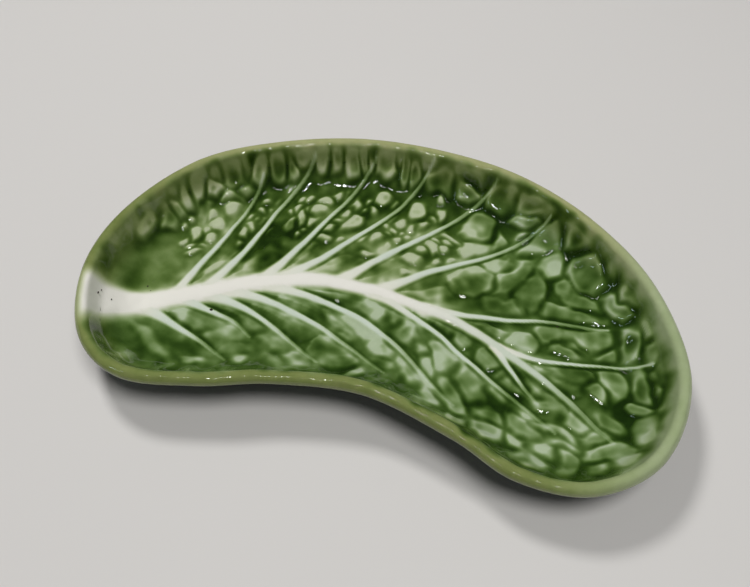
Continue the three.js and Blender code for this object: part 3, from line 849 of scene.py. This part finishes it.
def add_node(tree, kind, values=None, **options):
    """A node with its options set and its unlinked inputs filled in by name."""
    node = tree.nodes.new(kind)
    for key, value in options.items():
        setattr(node, key, value)
    for key, value in (values or {}).items():
        node.inputs[key].default_value = value
    return node


def chain(tree, *ends):
    """Links pairs of sockets."""
    for start, end in zip(ends[::2], ends[1::2]):
        tree.links.new(start, end)


def rgba(colour):
    return (*colour, 1.0)


def geometry_tree(name, inputs):
    tree = bpy.data.node_groups.new(name, "GeometryNodeTree")
    tree.is_modifier = True
    tree.interface.new_socket("Geometry", in_out="INPUT", socket_type="NodeSocketGeometry")
    for socket, kind in inputs.items():
        tree.interface.new_socket(socket, in_out="INPUT", socket_type=kind)
    tree.interface.new_socket("Geometry", in_out="OUTPUT", socket_type="NodeSocketGeometry")
    return tree, add_node(tree, "NodeGroupInput"), add_node(tree, "NodeGroupOutput")


def finish_tree(tree, geometry, group_in, group_out):
    """Ends a tree with smooth, realized geometry in one material."""
    smooth = add_node(tree, "GeometryNodeSetShadeSmooth")
    realize = add_node(tree, "GeometryNodeRealizeInstances")
    paint = add_node(tree, "GeometryNodeSetMaterial")
    chain(
        tree,
        geometry, smooth.inputs["Geometry"],
        smooth.outputs[0], realize.inputs["Geometry"],
        realize.outputs[0], paint.inputs["Geometry"],
        group_in.outputs["Material"], paint.inputs["Material"],
        paint.outputs[0], group_out.inputs[0],
    )


def sweep_tree():
    """Sweeps an upright section along a level line, scaled by the line's half_width."""
    made = bpy.data.node_groups.get("Sweep along line")
    if made:
        return made
    inputs = {"Section": "NodeSocketObject", "Caps": "NodeSocketBool", "Material": "NodeSocketMaterial"}
    tree, group_in, group_out = geometry_tree("Sweep along line", inputs)
    line = add_node(tree, "GeometryNodeMeshToCurve")
    upright = add_node(tree, "GeometryNodeSetCurveNormal", mode="Z_UP")
    section = add_node(tree, "GeometryNodeObjectInfo")
    section_line = add_node(tree, "GeometryNodeMeshToCurve")
    half_width = add_node(tree, "GeometryNodeInputNamedAttribute", {"Name": "half_width"})
    sweep = add_node(tree, "GeometryNodeCurveToMesh")
    chain(
        tree,
        group_in.outputs["Geometry"], line.inputs["Mesh"],
        line.outputs[0], upright.inputs["Curve"],
        group_in.outputs["Section"], section.inputs["Object"],
        section.outputs["Geometry"], section_line.inputs["Mesh"],
        upright.outputs[0], sweep.inputs["Curve"],
        section_line.outputs[0], sweep.inputs["Profile Curve"],
        half_width.outputs["Attribute"], sweep.inputs["Scale"],
        group_in.outputs["Caps"], sweep.inputs["Fill Caps"],
    )
    finish_tree(tree, sweep.outputs[0], group_in, group_out)
    return tree


def pinhole_tree():
    """Sets a flat bead at each point, scaled by the point's half_width."""
    made = bpy.data.node_groups.get("Beads at points")
    if made:
        return made
    inputs = {"Flatness": "NodeSocketFloat", "Material": "NodeSocketMaterial"}
    tree, group_in, group_out = geometry_tree("Beads at points", inputs)
    bead = add_node(tree, "GeometryNodeMeshIcoSphere", {"Radius": 1.0, "Subdivisions": 2})
    half_width = add_node(tree, "GeometryNodeInputNamedAttribute", {"Name": "half_width"})
    thickness = add_node(tree, "ShaderNodeMath", operation="MULTIPLY")
    scale = add_node(tree, "ShaderNodeCombineXYZ")
    place = add_node(tree, "GeometryNodeInstanceOnPoints")
    chain(
        tree,
        half_width.outputs["Attribute"], thickness.inputs[0],
        group_in.outputs["Flatness"], thickness.inputs[1],
        half_width.outputs["Attribute"], scale.inputs["X"],
        half_width.outputs["Attribute"], scale.inputs["Y"],
        thickness.outputs[0], scale.inputs["Z"],
        group_in.outputs["Geometry"], place.inputs["Points"],
        bead.outputs["Mesh"], place.inputs["Instance"],
        scale.outputs[0], place.inputs["Scale"],
    )
    finish_tree(tree, place.outputs[0], group_in, group_out)
    return tree


def run_tree(name, mesh, tree, values):
    """Runs a geometry tree on a mesh and returns the result as a plain mesh."""
    carrier = bpy.data.objects.new(name, mesh)
    bpy.context.scene.collection.objects.link(carrier)
    modifier = carrier.modifiers.new("Nodes", "NODES")
    modifier.node_group = tree
    for socket in tree.interface.items_tree:
        if socket.in_out == "INPUT" and socket.name in values:
            modifier[socket.identifier] = values[socket.name]
    depsgraph = bpy.context.evaluated_depsgraph_get()
    made = bpy.data.meshes.new_from_object(
        carrier.evaluated_get(depsgraph), preserve_all_data_layers=True, depsgraph=depsgraph
    )
    made.name = name
    bpy.data.objects.remove(carrier)
    bpy.data.meshes.remove(mesh)
    return made


def set_field(mesh, name, values):
    attribute = mesh.attributes.get(name) or mesh.attributes.new(name, "FLOAT", "POINT")
    attribute.data.foreach_set("value", np.asarray(values, np.float32))


def get_field(mesh, name):
    values = np.empty(len(mesh.vertices), np.float32)
    mesh.attributes[name].data.foreach_get("value", values)
    return values


def get_places(mesh):
    places = np.empty(len(mesh.vertices) * 3, np.float32)
    mesh.vertices.foreach_get("co", places)
    return places.reshape(-1, 3).astype(float)


def set_places(mesh, places):
    mesh.vertices.foreach_set("co", np.asarray(places, np.float32).ravel())
    mesh.update()


def wire(name, points, closed, fields):
    """A chain of edges, for a tree to follow."""
    count = len(points)
    mesh = bpy.data.meshes.new(name)
    edges = [(i, i + 1) for i in range(count - 1)] + ([(count - 1, 0)] if closed else [])
    flat = np.zeros((count, 3))
    flat[:, : points.shape[1]] = points
    mesh.from_pydata(flat.tolist(), edges, [])
    for field, values in fields.items():
        set_field(mesh, field, values)
    return mesh


def sweep(name, line, half_width, closed, section, section_fields, section_closed, material):
    """Sweeps a section, given as places outwards and down, along a line on the plan."""
    section_mesh = wire(name + "_section", section, section_closed, section_fields)
    carrier = bpy.data.objects.new(name + "_section", section_mesh)
    path = wire(name, line, closed, {"half_width": half_width})
    values = {"Section": carrier, "Caps": not closed, "Material": material}
    made = run_tree(name, path, sweep_tree(), values)
    bpy.data.objects.remove(carrier)
    bpy.data.meshes.remove(section_mesh)
    return made


def turn_outwards(mesh, fill=False):
    """Makes the faces point outwards, after closing any open ends."""
    work = bmesh.new()
    work.from_mesh(mesh)
    if fill:
        bmesh.ops.holes_fill(work, edges=[edge for edge in work.edges if edge.is_boundary], sides=0)
    bmesh.ops.recalc_face_normals(work, faces=work.faces)
    work.to_mesh(mesh)
    work.free()


def set_normals(mesh, normals):
    mesh.shade_smooth()
    mesh.normals_split_custom_set_from_vertices(normals.tolist())


def add_piece(name, mesh, node):
    """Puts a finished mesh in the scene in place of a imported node."""
    piece = bpy.data.objects.new(name, mesh)
    bpy.context.scene.collection.objects.link(piece)
    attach(piece, "root")
    if node:
        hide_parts(node)
    return piece


# Finishes


# Sockets of a colour mix: its factor, its two colours and its result.
MIX_FACTOR, MIX_START, MIX_END, MIX_RESULT = 0, 6, 7, 2


def add_mix(tree, factor, start, end):
    """The colour between two others."""
    node = add_node(tree, "ShaderNodeMix", data_type="RGBA")
    chain(
        tree,
        factor, node.inputs[MIX_FACTOR],
        start, node.inputs[MIX_START],
        end, node.inputs[MIX_END],
    )
    return node.outputs[MIX_RESULT]


def add_filter(tree, tint, depth):
    """What glaze lets through: each unit of depth takes the same share of each colour away."""
    parts = add_node(tree, "ShaderNodeSeparateColor")
    left = add_node(tree, "ShaderNodeCombineColor")
    tree.links.new(tint, parts.inputs[0])
    for channel in range(3):
        power = add_node(tree, "ShaderNodeMath", operation="POWER")
        chain(
            tree,
            parts.outputs[channel], power.inputs[0],
            depth, power.inputs[1],
            power.outputs[0], left.inputs[channel],
        )
    return left.outputs[0]


def add_roughness(tree, cloud, smoothest, roughest):
    """A roughness that follows the clouds."""
    spread = {"From Min": 0.3, "From Max": 0.7, "To Min": smoothest, "To Max": roughest}
    node = add_node(tree, "ShaderNodeMapRange", spread)
    tree.links.new(cloud, node.inputs["Value"])
    return node.outputs[0]


def add_clouds(tree, scale, detail):
    place = add_node(tree, "ShaderNodeTexCoord")
    node = add_node(tree, "ShaderNodeTexNoise", {"Scale": scale, "Detail": detail, "Roughness": 0.6})
    tree.links.new(place.outputs["Object"], node.inputs["Vector"])
    return node.outputs["Fac"]


def leaf_glaze_group():
    """Clay seen through tinted glaze, whose depth is written on the mesh."""
    made = bpy.data.node_groups.get("Leaf glaze")
    if made:
        return made
    tree = bpy.data.node_groups.new("Leaf glaze", "ShaderNodeTree")
    for name in ("Clay", "Cool Clay", "Warm Clay", "Tint"):
        tree.interface.new_socket(name, in_out="INPUT", socket_type="NodeSocketColor")
    for name, kind in (("Color", "Color"), ("Roughness", "Float"), ("Ripple", "Float")):
        tree.interface.new_socket(name, in_out="OUTPUT", socket_type="NodeSocket" + kind)
    group_in = add_node(tree, "NodeGroupInput").outputs
    group_out = add_node(tree, "NodeGroupOutput").inputs
    depth, cool, warm = (
        add_node(tree, "ShaderNodeAttribute", attribute_name=name).outputs["Fac"]
        for name in ("glaze_depth", "cool_glaze", "warm_glaze")
    )
    cloud = add_clouds(tree, scale=160.0, detail=4.0)
    uneven = add_node(tree, "ShaderNodeMapRange", {"To Min": 0.75, "To Max": 1.25})
    clouded = add_node(tree, "ShaderNodeMath", operation="MULTIPLY")
    clay = add_mix(tree, cool, group_in["Clay"], group_in["Cool Clay"])
    clay = add_mix(tree, warm, clay, group_in["Warm Clay"])
    seen = add_node(tree, "ShaderNodeMix", {"Factor": 1.0}, data_type="RGBA", blend_type="MULTIPLY")
    chain(
        tree,
        cloud, uneven.inputs["Value"],
        depth, clouded.inputs[0],
        uneven.outputs[0], clouded.inputs[1],
        clay, seen.inputs[MIX_START],
        add_filter(tree, group_in["Tint"], clouded.outputs[0]), seen.inputs[MIX_END],
        seen.outputs[MIX_RESULT], group_out["Color"],
        add_roughness(tree, cloud, smoothest=0.025, roughest=0.05), group_out["Roughness"],
        cloud, group_out["Ripple"],
    )
    return tree


def new_material(name):
    material = bpy.data.materials.new(name)
    material.use_nodes = True
    tree = material.node_tree
    return material, tree, tree.nodes["Principled BSDF"]


def add_ripple(tree, shader, height, strength, distance):
    bump = add_node(tree, "ShaderNodeBump", {"Strength": strength, "Distance": distance})
    chain(tree, height, bump.inputs["Height"], bump.outputs[0], shader.inputs["Normal"])


def leaf_glaze(name):
    """One of the glossy glazes of the leaf, which run into each other over the pieces' joins."""
    colours = bpy.context.scene.leaf_dish.colours
    material, tree, shader = new_material(name)
    group = add_node(tree, "ShaderNodeGroup", node_tree=leaf_glaze_group())
    values = (colours.slip, colours.cool_slip, colours.warm_slip, colours.tint)
    for socket, value in zip(group.inputs, values):
        socket.default_value = rgba(value)
    shader.inputs["IOR"].default_value = GLAZE_IOR
    chain(
        tree,
        group.outputs["Color"], shader.inputs["Base Color"],
        group.outputs["Roughness"], shader.inputs["Roughness"],
    )
    add_ripple(tree, shader, group.outputs["Ripple"], *GLAZE_BUMP)
    return material


def mottled(name, colour, look):
    """A surface of one colour, clouded towards a darker one."""
    material, tree, shader = new_material(name)
    cloud = add_clouds(tree, look.scale, detail=6.0)
    blend = add_node(tree, "ShaderNodeMix", data_type="RGBA")
    blend.inputs[MIX_START].default_value = rgba(colour)
    blend.inputs[MIX_END].default_value = rgba(look.shade * part for part in colour)
    chain(
        tree,
        cloud, blend.inputs[MIX_FACTOR],
        blend.outputs[MIX_RESULT], shader.inputs["Base Color"],
        add_roughness(tree, cloud, look.smoothest, look.roughest), shader.inputs["Roughness"],
    )
    add_ripple(tree, shader, cloud, look.ripple, look.ripple_height)
    return material


# Pieces


def dress(mesh, leaf, points):
    """Writes the leaf's glaze on a mesh whose points lie over those plan points."""
    for name, field in leaf.glaze.items():
        set_field(mesh, name, leaf.sample(field, points))


# How many cells of the leaf's fine top lie along one cell of its hidden bottom.
BLADE_RATIO = 4
# The sides of a grid cell: the step to the next cell, and the corners that the side runs between.
CELL_SIDES = (
    (-1, 0, (0, 1), (0, 0)),
    (1, 0, (1, 0), (1, 1)),
    (0, -1, (0, 0), (1, 0)),
    (0, 1, (1, 1), (0, 1)),
)


def nested_grid(mask, ratio):
    """A closed slab over the cells of a coarse mask, whose top is finer than its bottom by ratio.
    Returns the grid places of the top points and the bottom points, and the faces."""
    fine = np.kron(mask, np.ones((ratio, ratio), bool))
    top_index = number_corners(fine)
    low_index = number_corners(mask)
    top_places = np.argwhere(top_index >= 0)
    low_places = np.argwhere(low_index >= 0) * ratio
    count = len(top_places)
    faces = cell_faces(fine, top_index).tolist()
    faces += (cell_faces(mask, low_index)[:, ::-1] + count).tolist()
    padded = np.pad(mask, 1)
    for di, dj, start, end in CELL_SIDES:
        open_side = mask & ~padded[1 + di : 1 + di + mask.shape[0], 1 + dj : 1 + dj + mask.shape[1]]
        for cell in np.argwhere(open_side):
            a, b = cell + start, cell + end
            along = [tuple(a * ratio + (b - a) * k) for k in range(ratio + 1)]
            top = [top_index[place] for place in along]
            low = [low_index[tuple(b)] + count, low_index[tuple(a)] + count]
            faces.append([int(k) for k in top[::-1] + low[::-1]])
    return top_places, low_places, faces


def number_corners(mask):
    used = np.zeros(np.array(mask.shape) + 1, bool)
    for i in (0, 1):
        for j in (0, 1):
            used[i : i + mask.shape[0], j : j + mask.shape[1]] |= mask
    index = np.full(used.shape, -1)
    index[used] = np.arange(used.sum())
    return index


def cell_faces(mask, index):
    i, j = np.nonzero(mask)
    return np.stack([index[i, j], index[i + 1, j], index[i + 1, j + 1], index[i, j + 1]], 1)


class LEAFDISH_OT_leaf_blade(Operator):
    """Mould the green leaf that lines the dish"""

    bl_idname = "leaf_dish.leaf_blade"
    bl_label = "Leaf Blade"

    def execute(self, context):
        leaf = make_leaf(context.scene.leaf_dish)
        sizes = context.scene.leaf_dish.sizes
        half = BLADE_RATIO // 2
        mask = leaf.inset[half::BLADE_RATIO, half::BLADE_RATIO] > BLADE_EDGE
        cells = (np.array(leaf.inset.shape) - 1) // BLADE_RATIO
        top, low, faces = nested_grid(mask[: cells[0], : cells[1]], BLADE_RATIO)
        under_lip = 1 - smooth_step(*LEAF_OUT, leaf.inset)
        height = leaf.height - LEAF_DIP * np.maximum(leaf.cover, under_lip)
        seat = inside_height(leaf.inset, sizes) - sizes.blade_thickness - LEAF_ROOT
        places = [
            np.stack([field[at[:, 0], at[:, 1]] for field in (leaf.x, leaf.y, level)], 1)
            for at, level in ((top, height), (low, seat))
        ]
        mesh = bpy.data.meshes.new("leaf_blade_moulded")
        mesh.from_pydata(np.concatenate(places).tolist(), [], faces)
        mesh.materials.append(leaf_glaze("leaf_green_glaze"))
        plan = np.concatenate(places)[:, :2]
        dress(mesh, leaf, plan)
        normals = leaf.normals(plan)
        normals[len(top) :] = (0, 0, -1)
        set_normals(mesh, normals)
        add_piece("leaf_blade_moulded", mesh, "leaf_blade")
        return {"FINISHED"}


def rib_mesh(leaf, rib, material, lift, points_across=17, reach=1.3):
    """A rib cut from the relief: it follows the leaf's height on top and sinks in at its edges."""
    spread = np.linspace(-reach, reach, points_across)
    section = np.stack([np.concatenate([spread, spread[::-1]]), np.zeros(2 * points_across)], 1)
    on_top = np.repeat([1.0, 0.0], points_across)
    fields = {"on_top": on_top, "aside": np.abs(section[:, 0])}
    mesh = sweep(rib.name, rib.line, rib.half_width, False, section, fields, True, material)
    places = get_places(mesh)
    top = get_field(mesh, "on_top") > 0.5
    aside = get_field(mesh, "aside")
    _, along, _ = follow(rib.line, places[:, :2])
    ends = smooth_step(2.2, 0.2, np.minimum(along, len(rib.line) - 1 - along))
    height = leaf.sample(leaf.height, places[:, :2])
    sunk = np.maximum(smooth_step(1.0, reach, aside), ends)
    places[:, 2] = height + np.where(top, lift - RIB_DIP * sunk, -RIB_ROOT)
    set_places(mesh, places)
    turn_outwards(mesh)
    dress(mesh, leaf, places[:, :2])
    normals = leaf.normals(places[:, :2])
    normals[~top] = (0, 0, -1)
    set_normals(mesh, normals)
    return mesh


def part_of(rib, keep):
    """The stretch of a rib where keep is true."""
    index = np.flatnonzero(keep)
    stretch = slice(index[0], index[-1] + 1)
    fields = (rib.line, rib.half_width, rib.crown, rib.bare, rib.glaze, rib.cool)
    return Rib(rib.name, *(field[stretch] for field in fields), rib.power)


class LEAFDISH_OT_midrib(Operator):
    """Mould the cream midrib"""

    bl_idname = "leaf_dish.midrib"
    bl_label = "Midrib"

    def execute(self, context):
        leaf = make_leaf(context.scene.leaf_dish)
        midrib = leaf.ribs[0]
        rib = part_of(midrib, leaf.sample(leaf.inset, midrib.line) > MIDRIB_EDGE)
        mesh = rib_mesh(leaf, rib, leaf_glaze("stem_cream_glaze"), MIDRIB_LIFT)
        add_piece("midrib_moulded", mesh, "midrib")
        return {"FINISHED"}


class LEAFDISH_OT_side_veins(Operator):
    """Mould the side veins"""

    bl_idname = "leaf_dish.side_veins"
    bl_label = "Side Veins"

    def execute(self, context):
        leaf = make_leaf(context.scene.leaf_dish)
        midrib, *veins = leaf.ribs
        material = leaf_glaze("vein_mint_glaze")
        for vein in veins:
            away, place, _ = follow(midrib.line, vein.line)
            beside = away > VEIN_START * np.interp(place, np.arange(len(midrib.line)), midrib.half_width)
            clear = leaf.sample(leaf.inset, vein.line) > VEIN_EDGE
            mesh = rib_mesh(leaf, part_of(vein, beside & clear), material, VEIN_LIFT, points_across=13)
            add_piece(vein.name + "_moulded", mesh, vein.name)
        return {"FINISHED"}


def sweep_rim(name, sizes, spacing, places, material, fields=None, section_closed=True):
    """Sweeps a section, given as insets and heights, along the rim."""
    line = rim_line(sizes, spacing)[:-1]
    return sweep(name, line, np.ones(len(line)), True, -places, fields or {}, section_closed, material)


def smooth_curves(mesh):
    mesh.shade_smooth()
    mesh.set_sharp_from_angle(angle=SHARP_ANGLE)


class LEAFDISH_OT_rim(Operator):
    """Roll the olive lip"""

    bl_idname = "leaf_dish.rim"
    bl_label = "Rim"

    def execute(self, context):
        leaf = make_leaf(context.scene.leaf_dish)
        sizes = context.scene.leaf_dish.sizes
        places, moulded = self.section(sizes)
        fields = {"moulded": moulded, "inwards": places[:, 0]}
        mesh = sweep_rim("rim_moulded", sizes, LIP_STEP, places, leaf_glaze("rim_olive_glaze"), fields)
        points = get_places(mesh)
        plan = points[:, :2]
        relief = leaf.sample(leaf.height - inside_height(leaf.inset, sizes), plan)
        sunk = RIM_DIP * smooth_step(*RIM_UNDER, get_field(mesh, "inwards"))
        points[:, 2] += get_field(mesh, "moulded") * (relief - sunk)
        set_places(mesh, points)
        turn_outwards(mesh)
        dress(mesh, leaf, plan)
        mesh.shade_smooth()
        add_piece("rim_moulded", mesh, "rim")
        return {"FINISHED"}

    def section(self, sizes):
        """The lip from its inner shoulder over its roll to its hidden underside, and how much of the leaf's
        relief each point takes on."""
        radius = sizes.rim_width / 2
        middle = rim_high.z - radius
        turn = np.radians(LIP_ROLL)
        shoulder = np.stack([RIM_INSETS, inside_height(RIM_INSETS, sizes)], 1)
        roll = np.stack([radius * np.cos(turn), middle + radius * np.sin(turn)], 1)
        under = LIP_UNDERSIDE + (0, rim_low.z)
        on_top = smooth_step(*LIP_RELIEF, LIP_ROLL)
        moulded = np.concatenate([np.ones(len(shoulder)), on_top, np.zeros(len(under))])
        return np.concatenate([shoulder, roll, under]), moulded


class LEAFDISH_OT_clay_body(Operator):
    """Cast the clay shell under the leaf"""

    bl_idname = "leaf_dish.clay_body"
    bl_label = "Clay Body"

    def execute(self, context):
        settings = context.scene.leaf_dish
        sizes = settings.sizes
        outside = self.wall(sizes.lip_shade, foot_high.z, sizes)
        inside = self.wall(sizes.clay_wall, foot_high.z + sizes.clay_floor, sizes)
        places = np.concatenate([outside[::-1], inside])
        glaze = mottled("underside_green_glaze", settings.colours.underside, UNDERSIDE_GLAZE)
        mesh = sweep_rim("clay_body_cast", sizes, SHELL_STEP, places, glaze, section_closed=False)
        turn_outwards(mesh, fill=True)
        smooth_curves(mesh)
        add_piece("clay_body_cast", mesh, "clay_body")
        return {"FINISHED"}

    def wall(self, inwards, floor, sizes):
        """One side of the wall, which starts that far inwards from the outside of the rim."""
        start = inwards - sizes.rim_width / 2
        inset = start + np.linspace(0, sizes.wall_run, WALL_POINTS)
        return np.stack([inset, wall_height(inset, start, floor, sizes)], 1)


class LEAFDISH_OT_foot_ring(Operator):
    """Turn the bare standing ring"""

    bl_idname = "leaf_dish.foot_ring"
    bl_label = "Foot Ring"

    def execute(self, context):
        settings = context.scene.leaf_dish
        sizes = settings.sizes
        outer = sizes.wall_run - sizes.rim_width / 2 + sizes.foot_inset
        inner = outer + sizes.foot_width
        turn = np.radians(np.linspace(0, 90, EDGE_POINTS))
        rounding = sizes.foot_edge * np.stack([1 - np.cos(turn), 1 - np.sin(turn)], 1)
        corner_in = np.stack([inner - rounding[:, 0], rounding[:, 1]], 1)
        corner_out = np.stack([outer + rounding[::-1, 0], rounding[::-1, 1]], 1)
        places = np.concatenate([[(inner, foot_high.z)], corner_in, corner_out, [(outer, foot_high.z)]])
        clay = mottled("bare_earthenware", settings.colours.clay, BARE_CLAY)
        mesh = sweep_rim("foot_ring_turned", sizes, SHELL_STEP, places, clay)
        turn_outwards(mesh)
        smooth_curves(mesh)
        add_piece("foot_ring_turned", mesh, "foot_ring")
        return {"FINISHED"}


class LEAFDISH_OT_pinholes(Operator):
    """Set the burst bubbles in the cream glaze"""

    bl_idname = "leaf_dish.pinholes"
    bl_label = "Pinholes"

    def execute(self, context):
        leaf = make_leaf(context.scene.leaf_dish)
        settings = context.scene.leaf_dish
        plan = set_to_dish([(x, y) for x, y, _ in PINHOLES], settings.sizes)
        height = leaf.sample(leaf.height, plan) + PINHOLE_LIFT
        widths = np.array([width for _, _, width in PINHOLES]) * MM
        points = wire("glaze_pinholes", np.column_stack([plan, height]), False, {"half_width": widths / 2})
        pit = mottled("pinhole_brown", settings.colours.pinhole, PINHOLE_PIT)
        values = {"Flatness": PINHOLE_FLATNESS, "Material": pit}
        mesh = run_tree("glaze_pinholes", points, pinhole_tree(), values)
        add_piece("glaze_pinholes", mesh, None)
        return {"FINISHED"}


# Stage


def add_lamp(name, spot, power):
    """A round lamp turned towards the dish."""
    lamp = bpy.data.lights.new(name, "AREA")
    lamp.shape = "DISK"
    lamp.size = spot.width
    lamp.energy = power
    holder = bpy.data.objects.new(name, lamp)
    holder.location = spot.place
    holder.rotation_euler = (-Vector(spot.place)).to_track_quat("-Z", "Y").to_euler()
    bpy.context.scene.collection.objects.link(holder)
    return holder


class LEAFDISH_OT_stage(Operator):
    """Set up the camera, the floor and the lamps"""

    bl_idname = "leaf_dish.stage"
    bl_label = "Stage"

    def execute(self, context):
        scene = context.scene
        stage, colours = scene.leaf_dish.stage, scene.leaf_dish.colours
        scene.view_settings.view_transform = "Standard"
        self.add_camera(scene, stage)
        self.add_floor(scene, colours)
        self.add_daylight(scene, stage)
        add_lamp("key_lamp", KEY_LAMP, stage.key_power).visible_glossy = False
        add_lamp("fill_lamp", FILL_LAMP, stage.fill_power).visible_glossy = False
        self.add_glints(stage)
        return {"FINISHED"}

    def add_glints(self, stage):
        """Lamps that only show in the glaze: a row overhead and a tall narrow window."""
        for spot in GLINT_LAMPS:
            add_lamp("glint_lamp", spot, stage.glint_power).visible_diffuse = False
        window = add_lamp("window", WINDOW, stage.window_power)
        window.data.shape = "RECTANGLE"
        window.data.size_y = WINDOW_HEIGHT
        window.data.color = WINDOW_COLOUR
        window.visible_diffuse = False

    def add_camera(self, scene, stage):
        camera = bpy.data.cameras.new("camera")
        camera.lens = stage.focal_length
        camera.sensor_fit = "HORIZONTAL"
        camera.sensor_width = SENSOR_WIDTH
        camera.clip_start = CLIP_START
        holder = bpy.data.objects.new("camera", camera)
        holder.location = stage.camera_place
        forward = Vector(stage.camera_aim) - Vector(stage.camera_place)
        holder.rotation_euler = forward.to_track_quat("-Z", "Y").to_euler()
        scene.collection.objects.link(holder)
        scene.camera = holder

    def add_floor(self, scene, colours):
        mesh = bpy.data.meshes.new("floor")
        corners = [(FLOOR_REACH * x, FLOOR_REACH * y, 0) for x, y in ((-1, -1), (1, -1), (1, 1), (-1, 1))]
        mesh.from_pydata(corners, [], [(0, 1, 2, 3)])
        mesh.materials.append(mottled("floor_pale", colours.floor, PALE_FLOOR))
        floor = bpy.data.objects.new("floor", mesh)
        scene.collection.objects.link(floor)

    def add_daylight(self, scene, stage):
        world = bpy.data.worlds.new("daylight")
        world.use_nodes = True
        sky = world.node_tree.nodes["Background"]
        sky.inputs["Color"].default_value = rgba(SKY_COLOUR)
        sky.inputs["Strength"].default_value = stage.daylight
        scene.world = world


class LEAFDISH_PT_panel(Panel):
    """The steps that make the dish"""

    bl_idname = "LEAFDISH_PT_panel"
    bl_label = "Leaf Dish"
    bl_space_type = "VIEW_3D"
    bl_region_type = "UI"
    bl_category = "Leaf Dish"

    def draw(self, context):
        settings = context.scene.leaf_dish
        for group in (settings.sizes, settings.relief, settings.colours, settings.stage):
            box = self.layout.box()
            for name in group.__annotations__:
                box.prop(group, name)
        for step in STEPS:
            self.layout.operator(step.bl_idname)


STEPS = (
    LEAFDISH_OT_stage,
    LEAFDISH_OT_leaf_blade,
    LEAFDISH_OT_midrib,
    LEAFDISH_OT_side_veins,
    LEAFDISH_OT_rim,
    LEAFDISH_OT_clay_body,
    LEAFDISH_OT_foot_ring,
    LEAFDISH_OT_pinholes,
)

CLASSES = (
    LeafDishSizes,
    LeafDishRelief,
    LeafDishColours,
    LeafDishStage,
    LeafDishSettings,
    *STEPS,
    LEAFDISH_PT_panel,
)


def register():
    for kind in CLASSES:
        bpy.utils.register_class(kind)
    bpy.types.Scene.leaf_dish = PointerProperty(type=LeafDishSettings)


def unregister():
    del bpy.types.Scene.leaf_dish
    for kind in reversed(CLASSES):
        bpy.utils.unregister_class(kind)


def main():
    register()
    bpy.ops.leaf_dish.stage()
    bpy.ops.leaf_dish.leaf_blade()
    bpy.ops.leaf_dish.midrib()
    bpy.ops.leaf_dish.side_veins()
    bpy.ops.leaf_dish.rim()
    bpy.ops.leaf_dish.clay_body()
    bpy.ops.leaf_dish.foot_ring()
    bpy.ops.leaf_dish.pinholes()


if __name__ == "__main__":
    main()
